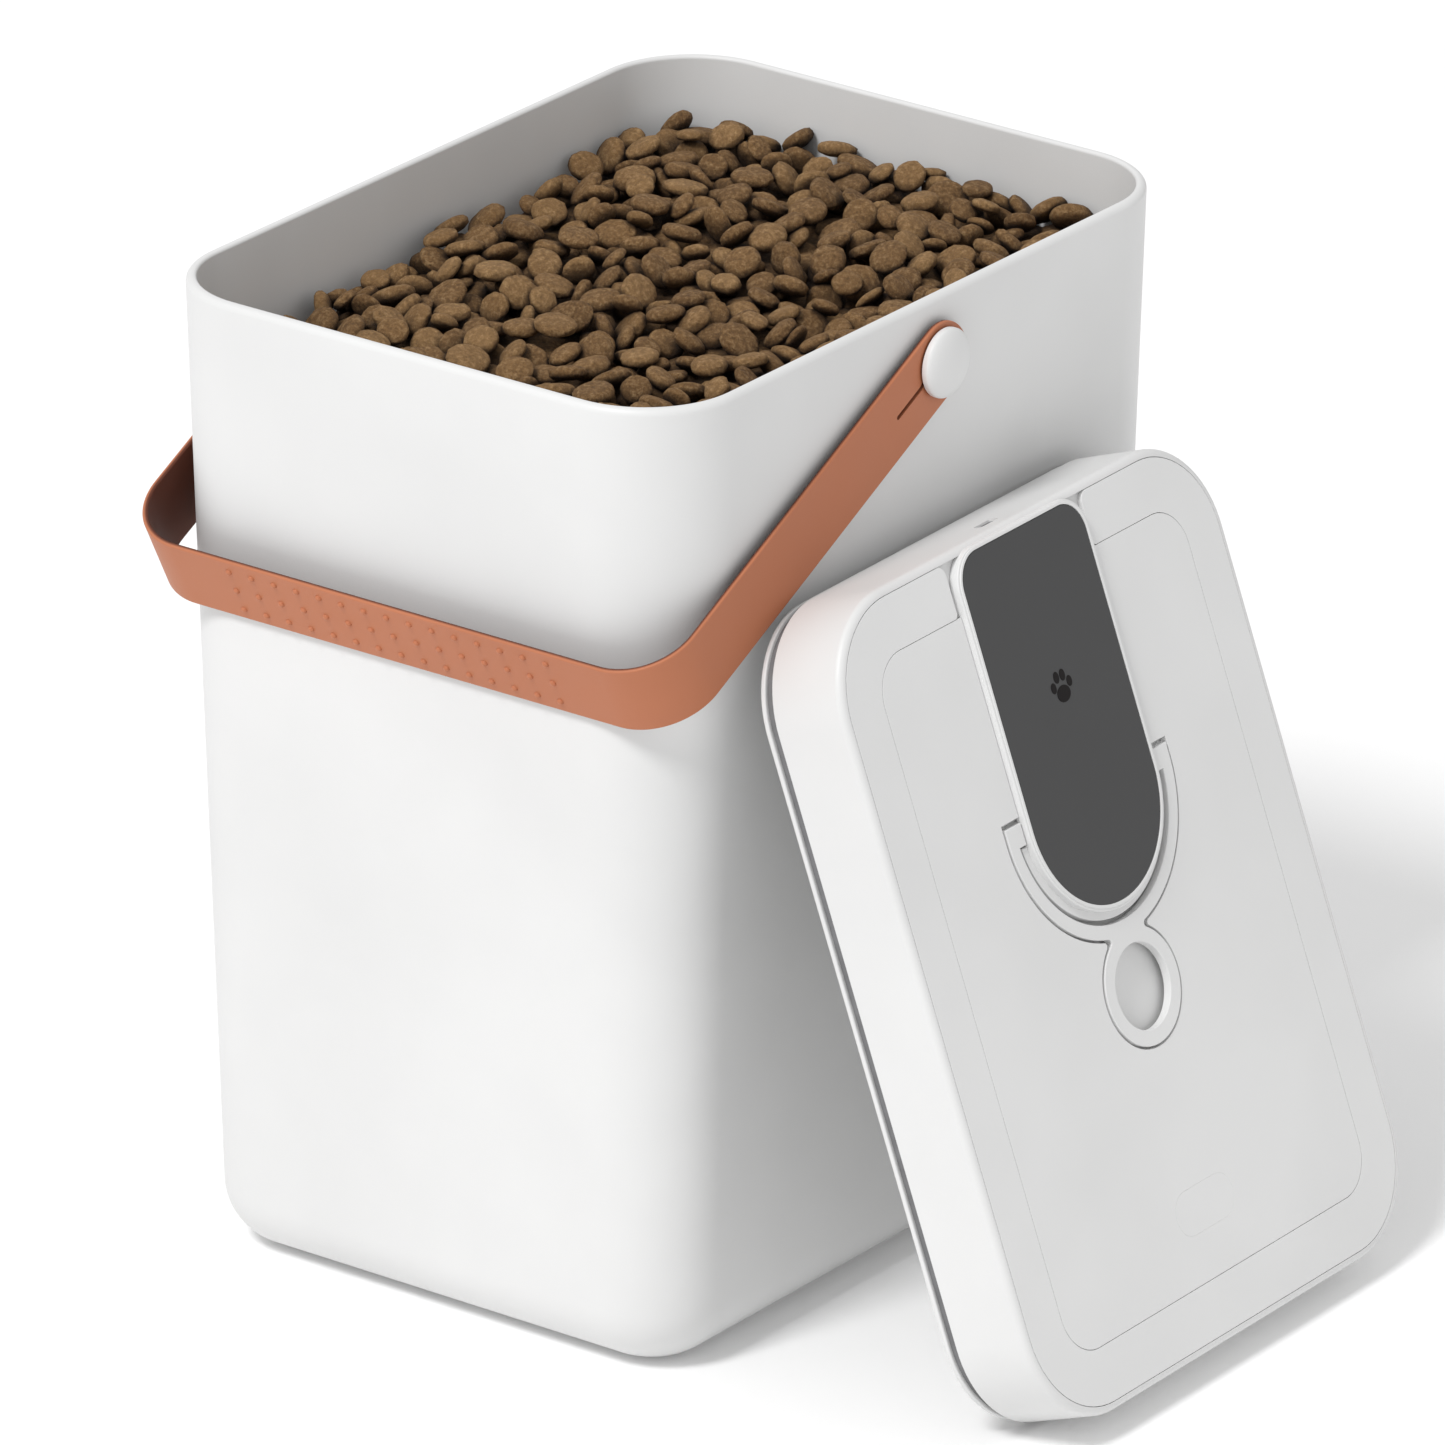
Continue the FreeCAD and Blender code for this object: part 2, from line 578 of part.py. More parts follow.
def make_console():
    """The raised touch console: body with a collar, plate, sensor film and mark."""
    body = new_body("console_body", LID)
    main = tongue(sketch_on(body, "XY_Plane", "-1 * deck_recess"), "console_half",
                  "console_end", "console_top", "console_corner")
    pad(body, main, "deck_recess + console_high")
    apron = rounded_rectangle(
        sketch_on(body, "XY_Plane", "-1 * deck_recess", "0",
                  "( console_top + panel_length / 2 + seam ) / 2"),
        "2 * ( channel_half - seam )", "console_top - panel_length / 2 - seam", "fine_corner")
    pad(body, apron, "deck_recess")
    collar = tongue(sketch_on(body, "XY_Plane", "-1 * tray_floor"), "collar_radius",
                    "console_end", "collar_top", "fine_corner")
    pad(body, collar, "tray_floor + collar_high")
    notch_middle = "( console_half + boss_inner + notch_reach ) / 2"
    for x in ("-1 * " + notch_middle, notch_middle):
        notch = rounded_rectangle(
            sketch_on(body, "XY_Plane", "console_high", x, "boss_low - tray_gap + notch_long / 2"),
            "boss_inner + notch_reach - console_half", "notch_long", "fine_corner")
        pocket(body, notch, "tray_floor + console_high")
    bed = tongue(sketch_on(body, "XY_Plane", "console_high"), "plate_half", "console_end",
                 "plate_top", "plate_corner")
    pocket(body, bed, "plate_thick + plate_sunk")
    bed_floor = "console_high - plate_thick - plate_sunk"
    film_bed = circle(sketch_on(body, "XY_Plane", bed_floor), "sensor_radius", "0", "mark_y")
    pocket(body, film_bed, "sensor_thick")
    drill(body, circle(sketch_on(body, "YZ_Plane"), "hinge_pin", "hinge_y", "hinge_z"))

    plate = new_body("touch_plate", LID)
    face = tongue(sketch_on(plate, "XY_Plane", bed_floor), "plate_half", "console_end",
                  "plate_top", "plate_corner")
    pad(plate, face, "plate_thick")
    film = rod("Film", "sensor_radius", "sensor_thick", "0", "mark_y",
               bed_floor + " - sensor_thick")
    lid_piece(film, "touch_sensor")
    mark = rod("Mark", "mark_radius", "mark_thick", "0", "mark_y", "console_high - plate_sunk")
    lid_piece(mark, "touch_mark")


def make_pull_ring():
    """The release ring: a yoke whose two arms hinge on the console, and a finger ring."""
    body = new_body("pull_ring", LID)
    yoke = tongue(sketch_on(body, "XY_Plane", "-1 * ring_under"), "yoke_outer", "console_end",
                  "boss_high", "small_corner")
    pad(body, yoke, "ring_under + ring_high")
    inside = tongue(sketch_on(body, "XY_Plane", "-1 * ring_under"), "yoke_inner", "console_end",
                    "boss_high + yoke_outer - yoke_inner", "small_corner")
    pocket(body, inside, "ring_under + ring_high", upward=True)
    finger = circle(sketch_on(body, "XY_Plane", "-1 * ring_under"), "ring_outer", "0", "ring_y")
    pad(body, finger, "ring_under + ring_high")
    for x in ("-1 * ( boss_inner + yoke_outer ) / 2", "( boss_inner + yoke_outer ) / 2"):
        boss = rounded_rectangle(
            sketch_on(body, "XY_Plane", "-1 * ring_under", x, "( boss_low + boss_high ) / 2"),
            "yoke_outer - boss_inner", "boss_high - boss_low", "small_corner")
        pad(body, boss, "ring_under + ring_high")
    hole = circle(sketch_on(body, "XY_Plane", "-1 * ring_under"), "ring_hole", "0", "ring_y")
    pocket(body, hole, "ring_under + ring_high", upward=True)
    drill(body, circle(sketch_on(body, "YZ_Plane"), "hinge_pin + running_gap", "hinge_y",
                       "hinge_z"))
    pins = [rod("HingePin" + side, "hinge_pin", "yoke_outer - hinge_pin_start", start,
                "hinge_y", "hinge_z", "x")
            for side, start in (("Right", "hinge_pin_start"), ("Left", "-1 * yoke_outer"))]
    group("ring_hinge_pins", pins, LID)


def make_lid_base():
    """The lid's underside: flange, neck inside the skirt and locating rib, with its seals."""
    body = slab("lid_base", "lid_width - 2 * flange_inset", "lid_length - 2 * flange_inset",
                "lid_corner - flange_inset", "-1 * flange_under", "flange_under - flange_top")
    add_band(body, "neck_inset", "neck_wall", "-1 * flange_top", "flange_top - neck_top")
    add_band(body, "rib_inset", "rib_wall", "-1 * flange_under - rib_deep", "rib_deep")
    for x in ("-1 * screw_x", "screw_x"):
        for y in ("-1 * screw_y", "0", "screw_y"):
            seat = circle(sketch_on(body, "XY_Plane", "-1 * flange_under"), "screw_head", x, y)
            pocket(body, seat, "head_thick", upward=True)
            hole = circle(sketch_on(body, "XY_Plane", "-1 * flange_under"), "screw_radius", x, y)
            pocket(body, hole, "flange_under - flange_top", upward=True)
    vents = (("0", "valve_y", "stem_radius + 2 * fit_gap"), ("filter_x", "pump_y", "filter_hole"))
    for x, y, radius in vents:
        vent = circle(sketch_on(body, "XY_Plane", "-1 * flange_under"), radius, x, y)
        pocket(body, vent, "flange_under - flange_top", upward=True)

    gasket = new_body("lid_gasket", LID)
    add_band(gasket, "gasket_inset", "neck_inset - gasket_inset", "-1 * flange_top",
             "flange_top - lid_skirt")
    seal = new_body("rim_seal", LID)
    add_band(seal, "seal_inset", "rib_inset - seal_inset", "-1 * flange_under - seal_deep",
             "seal_deep")


def add_band(body, inset, wall, under, thick):
    """Pad a ring that follows the lid's outline."""
    sketch = sketch_on(body, "XY_Plane", under)
    for extra in ("0", wall):
        rounded_rectangle(sketch, f"lid_width - 2 * ( {inset} + {extra} )",
                          f"lid_length - 2 * ( {inset} + {extra} )",
                          f"lid_corner - ( {inset} + {extra} )")
    pad(body, sketch, thick)


def make_screws():
    """Six screws that hold the base to the cover's bosses."""
    screws = []
    for column, x in (("L", "-1 * screw_x"), ("R", "screw_x")):
        for row, y in (("Low", "-1 * screw_y"), ("Mid", "0"), ("High", "screw_y")):
            name = "Screw" + column + row
            head = rod(name + "Head", "screw_head", "head_thick", x, y, "-1 * flange_under")
            shank = rod(name + "Shank", "screw_radius", "screw_long - head_thick", x, y,
                        "-1 * flange_under + head_thick")
            screws.append(fuse(name, [head, shank]))
    group("base_screws", screws, LID)


# ---------------------------------------------------------------- lid works


def make_electronics():
    """Circuit board with its charging socket, pressure sensor and light."""
    board = box("Board", "board_width", "board_length", "board_thick", "0", "board_y",
                "-1 * board_top - board_thick")
    lid_piece(board, "circuit_board")
    socket_y = "lid_length / 2 - port_skin - port_deep / 2"
    case = box("PortCase", "port_wide", "port_deep", "port_tall", "0", socket_y,
               "port_z - port_tall / 2")
    slot = box("PortSlot", "port_wide - 2 * port_skin", "port_deep", "port_tall - 2 * port_skin",
               "0", socket_y + " + 2 * port_skin", "port_z - port_tall / 2 + port_skin")
    lid_piece(cut("Port", case, slot), "charging_port")
    gauge = rod("Gauge", "gauge_radius", "gauge_tall", "gauge_x", "gauge_y", "-1 * board_top")
    lid_piece(gauge, "pressure_sensor")
    light = box("Light", "led_side", "led_side", "deck_under - deck_recess", "0", "window_y",
                "-1 * deck_under")
    lid_piece(light, "status_light")
    window = new_body("status_window", LID)
    pill = rounded_rectangle(sketch_on(window, "XY_Plane", "-1 * deck_recess", "0", "window_y"),
                             "window_width", "window_length", "window_corner")
    pad(window, pill, "deck_recess")


def make_battery():
    """One round cell in a cradle on the base."""
    cell = ("cell_radius", "cell_long", "cell_start", "pump_y", "cell_z", "x")
    lid_piece(rod("Cell", *cell), "battery_cell")
    cradle = box("CradleBlock", "cell_long - 2 * cradle_wall", "2 * ( cell_radius + cradle_wall )",
                 "flange_top + cell_z", "cell_start + cell_long / 2", "pump_y", "-1 * flange_top")
    lid_piece(cut("Cradle", cradle, rod("CradleSeat", *cell)), "battery_cradle")


def make_pump():
    """Vacuum pump: motor, head, shaft with its crank, suction tube and inlet filter."""
    spot = ("pump_y", "pump_z", "x")
    motor_end = "motor_start + motor_long"
    head_start = motor_end + " + fit_gap"
    can = rod("MotorCan", "motor_radius", "motor_long", "motor_start", *spot)
    bearing = rod("MotorBearing", "shaft_radius + running_gap", "2 * bearing_deep",
                  motor_end + " - bearing_deep", *spot)
    lid_piece(cut("Motor", can, bearing), "pump_motor")

    middle = head_start + " + head_long / 2"
    inner = "head_side - 2 * head_wall"
    case = box("HeadCase", "head_long", "head_side", "head_side", middle, "pump_y",
               "pump_z - head_side / 2")
    room = box("HeadRoom", "head_long - 2 * head_wall", inner, inner, middle, "pump_y",
               "pump_z - head_side / 2 + head_wall")
    throat = rod("HeadThroat", "throat_radius", "2 * head_wall", head_start + " - head_wall / 2",
                 *spot)
    outlet = rod("HeadOutlet", "tube_hole", "2 * head_wall",
                 head_start + " + head_long - 1.5 * head_wall", *spot)
    lid_piece(cut("Head", case, fuse("HeadOpenings", [room, throat, outlet])), "pump_head")

    shaft = ("shaft_radius", "shaft_long", motor_end + " - shaft_inside", *spot)
    lid_piece(rod("Shaft", *shaft), "pump_shaft")
    disc = rod("CrankDisc", "crank_radius", "crank_wide", head_start + " + crank_start", "pump_y",
               "pump_z + crank_offset", "x")
    lid_piece(cut("Crank", disc, rod("CrankBore", *shaft)), "pump_crank")

    tube_long = f"filter_x - filter_radius - ( {head_start} ) - head_long"
    suction = tube("Suction", "tube_radius", "tube_hole", tube_long, head_start + " + head_long",
                   *spot)
    lid_piece(suction, "suction_tube")
    housing = rod("FilterCan", "filter_radius", "filter_tall", "filter_x", "pump_y",
                  "-1 * flange_top")
    inlet = rod("FilterInlet", "filter_hole", "filter_tall - filter_hole", "filter_x", "pump_y",
                "-1 * flange_top - fit_gap")
    lid_piece(cut("Filter", housing, inlet), "inlet_filter")


def make_valve():
    """Air release valve: seat on the base, stem with its sealing disc, and a spring."""
    spot = ("0", "valve_y")
    seat = tube("Seat", "seat_radius", "stem_radius + running_gap", "flange_top - seat_top",
                *spot, "-1 * flange_top")
    lid_piece(seat, "valve_seat")
    lid_piece(rod("Stem", "stem_radius", "stem_long", *spot, "-1 * stem_under"), "valve_stem")
    disc = tube("Disc", "valve_disc", "stem_radius", "valve_disc_thick", *spot,
                "-1 * seat_top + running_gap")
    lid_piece(disc, "valve_disc")

    spring = doc.addObject("Part::Feature", "valve_spring")
    wire, radius = size("spring_wire"), size("spring_radius")
    length = size("spring_long")
    helix = Part.makeHelix(length / size("spring_turns"), length, radius)
    corners = int(size("spring_sides"))
    turns = [2 * math.pi * k / corners for k in range(corners + 1)]
    section = Part.makePolygon([Vector(radius + wire * math.cos(turn), 0, wire * math.sin(turn))
                                for turn in turns])
    spring.Shape = Part.Wire(helix.Edges).makePipeShell([section], True, True)
    foot = size("fit_gap") + wire - size("seat_top") + size("valve_disc_thick")
    keep(spring, "valve_spring", LID.multiply(Placement(Vector(0, size("valve_y"), foot), Rotation())))


# ---------------------------------------------------------------- build, test and write

SECTIONS = (
    make_bin_shell, make_kibble, make_pivot_hardware, make_strap, make_bushes,
    make_lid_shell, make_lid_frame, make_lid_panel, make_ring_tray, make_console,
    make_pull_ring, make_lid_base, make_screws, make_electronics, make_battery, make_pump,
    make_valve,
)
for section in SECTIONS:
    section()
doc.recompute()

for thing in doc.Objects:
    if "Invalid" in thing.State or "Error" in thing.State:
        raise RuntimeError(f"{thing.Label} did not build: {thing.State}")
os.makedirs("parts", exist_ok=True)
for node in nodes:
    shape = node.Shape
    if shape.isNull() or not shape.isValid() or not shape.Solids:
        raise RuntimeError(f"{node.Label} is not a valid solid")
    shape.exportStep(f"parts/{node.Label}.step")
    print(f"{node.Label}: {len(shape.Solids)} solid, {shape.Volume:.0f} mm3")
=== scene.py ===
"""Looks of a pet food bin with a carry strap and a vacuum lid, around the CAD frame."""
import json
import math
import random

import bmesh
import bpy
import numpy as np
from mathutils import Matrix, Vector, noise


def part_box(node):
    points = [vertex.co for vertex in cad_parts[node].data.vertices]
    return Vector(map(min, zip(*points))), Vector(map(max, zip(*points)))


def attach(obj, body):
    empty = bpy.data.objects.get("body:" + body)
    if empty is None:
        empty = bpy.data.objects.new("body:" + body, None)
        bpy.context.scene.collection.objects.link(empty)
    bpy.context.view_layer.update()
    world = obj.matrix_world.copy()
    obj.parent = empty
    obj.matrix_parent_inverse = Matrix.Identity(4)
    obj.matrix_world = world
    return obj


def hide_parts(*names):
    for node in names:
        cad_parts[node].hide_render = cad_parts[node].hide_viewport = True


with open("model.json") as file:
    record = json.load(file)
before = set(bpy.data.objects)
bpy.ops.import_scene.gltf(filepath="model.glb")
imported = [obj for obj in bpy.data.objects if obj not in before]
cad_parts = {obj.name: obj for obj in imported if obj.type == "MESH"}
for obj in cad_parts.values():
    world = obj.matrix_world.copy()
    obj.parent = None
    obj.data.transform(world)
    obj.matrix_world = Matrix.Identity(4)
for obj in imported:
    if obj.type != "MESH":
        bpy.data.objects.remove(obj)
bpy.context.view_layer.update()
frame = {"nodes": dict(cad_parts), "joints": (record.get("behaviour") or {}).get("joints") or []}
scene = bpy.context.scene
MM = 0.001

# ---------------------------------------------------------------- frames of the parts that tilt

joints = {joint["name"]: joint for joint in frame["joints"]}
NORMAL = Vector(joints["valve_lift"]["axis"]).normalized()
ACROSS = -Vector(joints["pull_ring_lift"]["axis"]).normalized()
UP = NORMAL.cross(ACROSS)


def spans(node, axes):
    """The least and greatest reach of a CAD node along each axis, in millimetres."""
    points = np.array([v.co for v in frame["nodes"][node].data.vertices])
    reach = points @ np.array(axes).T / MM
    return reach.min(0), reach.max(0)


lid_low, lid_high = spans("lid_shell", (ACROSS, UP, NORMAL))
LID_ORIGIN = (ACROSS * (lid_low[0] + lid_high[0]) / 2 + UP * (lid_low[1] + lid_high[1]) / 2
              + NORMAL * lid_high[2]) * MM


def on_lid(node):
    """A lid node's low and high corners in the lid's own frame: across, up the lid, outward."""
    low, high = spans(node, (ACROSS, UP, NORMAL))
    origin = np.array([LID_ORIGIN.dot(axis) for axis in (ACROSS, UP, NORMAL)]) / MM
    return low - origin, high - origin


LID = Matrix.Translation(LID_ORIGIN) @ Matrix((ACROSS, UP, NORMAL)).transposed().to_4x4() \
    @ Matrix.Scale(MM, 4)
PIVOT = Vector(joints["handle_swing"]["pos_m"])
STRAP_DROP = math.radians(27)
STRAP = Matrix.Translation(PIVOT) @ Matrix.Rotation(math.pi + STRAP_DROP, 4, "X") \
    @ Matrix.Scale(MM, 4)
BIN = Matrix.Scale(MM, 4)

# ---------------------------------------------------------------- outlines


def arc(centre, radius, start, end, steps=14):
    """Points along an arc, both ends included, angles in radians."""
    turns = [start + (end - start) * k / steps for k in range(steps + 1)]
    return [(centre[0] + radius * math.cos(t), centre[1] + radius * math.sin(t)) for t in turns]


def without_repeats(points):
    """A closed outline without the points that fall on the one before them."""
    kept = []
    for point in points:
        if not kept or math.dist(point, kept[-1]) > 1e-4:
            kept.append(point)
    if math.dist(kept[0], kept[-1]) < 1e-4:
        kept.pop()
    return kept


def rounded_polygon(corners, steps=14):
    """A closed outline through (x, y, radius) corners, each turned into an arc."""
    points = []
    for k, (x, y, radius) in enumerate(corners):
        here = Vector((x, y))
        before = (Vector(corners[k - 1][:2]) - here).normalized()
        after = (Vector(corners[(k + 1) % len(corners)][:2]) - here).normalized()
        half = before.angle(after) / 2
        reach = radius / math.tan(half)
        centre = here + (before + after).normalized() * radius / math.sin(half)
        first, last = here + before * reach - centre, here + after * reach - centre
        start = math.atan2(first.y, first.x)
        turn = math.atan2(first.cross(last), first.dot(last))
        points += arc(centre, radius, start, start + turn, steps)
    return without_repeats(points)


def rounded_rectangle(half_x, half_y, radius, steps=14):
    """A closed rectangle about the origin with four equal round corners."""
    return rounded_polygon([(half_x, half_y, radius), (-half_x, half_y, radius),
                            (-half_x, -half_y, radius), (half_x, -half_y, radius)], steps)


def tongue(half, end, top, corner):
    """A strip up the lid with a half-round foot centred at `end` and two rounded corners."""
    return rounded_polygon([(half, top, corner), (-half, top, corner),
                            (-half, end - half, half), (half, end - half, half)], 28)


def mirrored(points):
    """The other half of an outline, across x = 0, in running order."""
    return [(-x, y) for x, y in reversed(points)]


# ---------------------------------------------------------------- mesh helpers


def settle(mesh, place, crease=35):
    """Weld, face outward, move into place and smooth all but the sharp edges."""
    work = bmesh.new()
    work.from_mesh(mesh)
    bmesh.ops.remove_doubles(work, verts=work.verts, dist=1e-3)
    bmesh.ops.dissolve_degenerate(work, edges=work.edges, dist=1e-4)
    bmesh.ops.recalc_face_normals(work, faces=work.faces)
    work.to_mesh(mesh)
    work.free()
    level = [abs(face.normal.z) > 0.9999 for face in mesh.polygons]
    mesh.transform(place)
    mesh.shade_smooth()
    mesh.set_sharp_from_angle(angle=math.radians(crease))
    mesh.polygons.foreach_set("use_smooth", [not flat for flat in level])
    return mesh


def loft(rings, capped=True):
    """Quads between rings of equal length, with a face on each end ring."""
    work = bmesh.new()
    rows = [[work.verts.new(point) for point in ring] for ring in rings]
    count = len(rings[0])
    for low, high in zip(rows, rows[1:]):
        for k in range(count):
            work.faces.new((low[k], low[(k + 1) % count], high[(k + 1) % count], high[k]))
    if capped:
        work.faces.new(list(reversed(rows[0])))
        work.faces.new(rows[-1])
    mesh = bpy.data.meshes.new("loft")
    work.to_mesh(mesh)
    work.free()
    return mesh


def plate(outlines, low, high, edge):
    """A flat piece between two heights, with holes where outlines nest and rounded edges."""
    curve = bpy.data.curves.new("outline", "CURVE")
    curve.dimensions = "2D"
    curve.fill_mode = "BOTH"
    curve.extrude = (high - low) / 2 - edge
    curve.bevel_depth = edge
    curve.bevel_resolution = 3
    curve.offset = -edge
    for outline in outlines:
        spline = curve.splines.new("POLY")
        spline.points.add(len(outline) - 1)
        spline.points.foreach_set("co", [c for x, y in outline for c in (x, y, 0, 1)])
        spline.use_cyclic_u = True
    holder = bpy.data.objects.new("outline", curve)
    scene.collection.objects.link(holder)
    bpy.context.view_layer.update()
    mesh = bpy.data.meshes.new_from_object(
        holder.evaluated_get(bpy.context.evaluated_depsgraph_get()))
    bpy.data.objects.remove(holder)
    mesh.transform(Matrix.Translation((0, 0, (low + high) / 2)))
    return mesh


def joined(*meshes):
    """Several meshes as one."""
    work = bmesh.new()
    for mesh in meshes:
        work.from_mesh(mesh)
    whole = bpy.data.meshes.new("joined")
    work.to_mesh(whole)
    work.free()
    return whole


def turned(profile, steps=72):
    """A solid of revolution about local Z through (radius, height) points."""
    circle = [(math.cos(2 * math.pi * k / steps), math.sin(2 * math.pi * k / steps))
              for k in range(steps)]
    return loft([[(r * c, r * s, z) for c, s in circle] for r, z in profile])


def carve(mesh, tool):
    """Cut one closed mesh out of another."""
    base, cutter = (bpy.data.objects.new(name, data)
                    for name, data in (("carve_base", mesh), ("carve_tool", tool)))
    for thing in (base, cutter):
        scene.collection.objects.link(thing)
    cutting = base.modifiers.new("cut", "BOOLEAN")
    cutting.object = cutter
    cutting.solver = "EXACT"
    bpy.context.view_layer.update()
    result = bpy.data.meshes.new_from_object(
        base.evaluated_get(bpy.context.evaluated_depsgraph_get()))
    for thing in (base, cutter):
        bpy.data.objects.remove(thing)
    return result


def piece(name, mesh, body, slot, material, *stands_for):
    """Make a finished mesh a piece of the object."""
    thing = bpy.data.objects.new(name, mesh)
    scene.collection.objects.link(thing)
    mesh.materials.clear()
    mesh.materials.append(material)
    even = thing.modifiers.new("even_shading", "WEIGHTED_NORMAL")
    even.keep_sharp = True
    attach(thing, body)
    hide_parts(*stands_for)
    return thing


# ---------------------------------------------------------------- materials


class Nodes:
    """Short forms for building a material's node tree."""

    def __init__(self, name):
        self.material = bpy.data.materials.new(name)
        self.material.use_nodes = True
        self.tree = self.material.node_tree
        self.shader = self.tree.nodes["Principled BSDF"]
        self.place = self.add("ShaderNodeTexCoord").outputs["Object"]

    def add(self, kind, **settings):
        node = self.tree.nodes.new(kind)
        for key, value in settings.items():
            if key in node.inputs:
                node.inputs[key].default_value = value
            else:
                setattr(node, key, value)
        return node

    def link(self, source, target):
        self.tree.links.new(source, target)

    def speckle(self, scale, detail=4, roughness=0.55, stretch=None):
        """Noise over the piece's own coordinates."""
        texture = self.add("ShaderNodeTexNoise")
        texture.inputs["Scale"].default_value = scale
        texture.inputs["Detail"].default_value = detail
        texture.inputs["Roughness"].default_value = roughness
        place = self.place
        if stretch:
            mapping = self.add("ShaderNodeMapping")
            mapping.inputs["Scale"].default_value = stretch
            self.link(place, mapping.inputs["Vector"])
            place = mapping.outputs["Vector"]
        self.link(place, texture.inputs["Vector"])
        return texture.outputs["Fac"]

    def ramp(self, source, stops):
        """Colours at positions along a value."""
        ramp = self.add("ShaderNodeValToRGB")
        elements = ramp.color_ramp.elements
        while len(elements) < len(stops):
            elements.new(0.5)
        for element, (position, colour) in zip(elements, stops):
            element.position = position
            element.color = (*colour, 1)
        self.link(source, ramp.inputs["Fac"])
        return ramp.outputs["Color"]

    def spread(self, source, low, high):
        """A value from noise, spread over a range."""
        spread = self.add("ShaderNodeMapRange")
        spread.inputs["From Min"].default_value = 0.3
        spread.inputs["From Max"].default_value = 0.7
        spread.inputs["To Min"].default_value = low
        spread.inputs["To Max"].default_value = high
        self.link(source, spread.inputs["Value"])
        return spread.outputs["Result"]

    def relief(self, *layers):
        """Stack bumps of (height source, strength, depth in metres)."""
        normal = None
        for source, strength, depth in layers:
            bump = self.add("ShaderNodeBump")
            bump.inputs["Strength"].default_value = strength
            bump.inputs["Distance"].default_value = depth
            self.link(source, bump.inputs["Height"])
            if normal:
                self.link(normal, bump.inputs["Normal"])
            normal = bump.outputs["Normal"]
        self.link(normal, self.shader.inputs["Normal"])

    def mixed(self, share, first, second):
        """A share of the second colour in the first, fixed or from a socket."""
        mix = self.add("ShaderNodeMixRGB")
        if isinstance(share, float):
            mix.inputs["Fac"].default_value = share
        else:
            self.link(share, mix.inputs["Fac"])
        self.link(first, mix.inputs["Color1"])
        self.link(second, mix.inputs["Color2"])
        return mix.outputs["Color"]


def shaded(colour, share):
    """A colour made lighter or darker."""
    return tuple(max(0, min(1, c * share)) for c in colour)


def plastic(name, colour, rough, grain=0.35, contrast=0.03, inside=None, **sockets):
    """Moulded plastic: fine spark-eroded grain, faint flow mottling, handling marks and, where an
    inside colour is given, painted shade on the faces marked by the inside attribute.
    """
    made = Nodes(name)
    mottling = made.speckle(9, 3)
    colours = made.ramp(mottling, [(0.35, shaded(colour, 1 - contrast)),
                                   (0.65, shaded(colour, 1 + contrast))])
    # painted shade: the inside colour is a darker copy laid where the inside attribute marks faces
    # that lie in shade
    if inside:
        painted_shade_mask = made.add("ShaderNodeAttribute", attribute_name="inside").outputs["Fac"]
        within = made.ramp(mottling, [(0.35, inside), (0.65, shaded(inside, 1 + contrast))])
        colours = made.mixed(painted_shade_mask, colours, within)
    made.link(colours, made.shader.inputs["Base Color"])
    handling = made.speckle(34, 5, 0.6)
    made.link(made.spread(handling, rough - 0.05, rough + 0.05), made.shader.inputs["Roughness"])
    fine, orange_peel = made.speckle(2600, 2), made.speckle(240, 2)
    made.relief((orange_peel, 0.12 * grain, 0.0004), (fine, grain, 0.00006))
    for socket, value in sockets.items():
        made.shader.inputs[socket.replace("_", " ")].default_value = value
    return made.material


def metal(name, colour, rough, stretch=(1, 1, 14)):
    """Turned or drawn metal with fine directional marks and a little tarnish."""
    made = Nodes(name)
    marks = made.speckle(900, 4, 0.6, stretch)
    tarnish = made.speckle(120, 4)
    colours = made.ramp(tarnish, [(0.35, shaded(colour, 0.82)), (0.7, colour)])
    made.link(colours, made.shader.inputs["Base Color"])
    made.link(made.spread(marks, rough - 0.08, rough + 0.1), made.shader.inputs["Roughness"])
    made.shader.inputs["Metallic"].default_value = 1
    made.relief((marks, 0.25, 0.00005))
    return made.material


def rubber(name, colour):
    """Silicone or rubber: matt, slightly dusty, with a soft skin."""
    made = Nodes(name)
    dust = made.speckle(160, 6, 0.65)
    colours = made.ramp(dust, [(0.3, shaded(colour, 0.85)), (0.75, shaded(colour, 1.25))])
    made.link(colours, made.shader.inputs["Base Color"])
    made.link(made.spread(dust, 0.55, 0.75), made.shader.inputs["Roughness"])
    made.relief((made.speckle(1500, 3), 0.3, 0.00008))
    return made.material


def kibble_material():
    """Baked food: each piece its own brown, with flecks, a dry rough skin and painted shade from
    ambient occlusion darkening the gaps.
    """
    made = Nodes("kibble")
    tone = made.add("ShaderNodeAttribute", attribute_name="tone").outputs["Fac"]
    piece_colour = made.ramp(tone, [(0.0, (0.175, 0.090, 0.033)), (0.5, (0.315, 0.172, 0.066)),
                                    (1.0, (0.500, 0.295, 0.125))])
    crust = made.speckle(650, 6, 0.75)
    crumb = made.ramp(crust, [(0.34, (0.090, 0.044, 0.015)), (0.50, (0.310, 0.170, 0.065)),
                              (0.66, (0.720, 0.470, 0.235))])
    # painted shade: ambient occlusion multiplies the base colour, darkening the gaps and hollows
    # between pieces
    sky = made.add("ShaderNodeAmbientOcclusion", samples=12, Distance=0.009)
    painted_gap_shade = made.ramp(sky.outputs["AO"], [(0.25, (0.10, 0.08, 0.07)), (0.85, (1, 1, 1))])
    gaps = made.add("ShaderNodeMixRGB", blend_type="MULTIPLY", Fac=1.0)
    made.link(made.mixed(0.5, piece_colour, crumb), gaps.inputs["Color1"])
    made.link(painted_gap_shade, gaps.inputs["Color2"])
    made.link(gaps.outputs["Color"], made.shader.inputs["Base Color"])
    made.link(made.spread(crust, 0.62, 0.85), made.shader.inputs["Roughness"])
    made.shader.inputs["Specular IOR Level"].default_value = 0.35
    made.relief((made.speckle(300, 3, 0.6), 1.0, 0.0026), (crust, 1.0, 0.0024),
                (made.speckle(1500, 4, 0.7), 0.7, 0.0005))
    return made.material


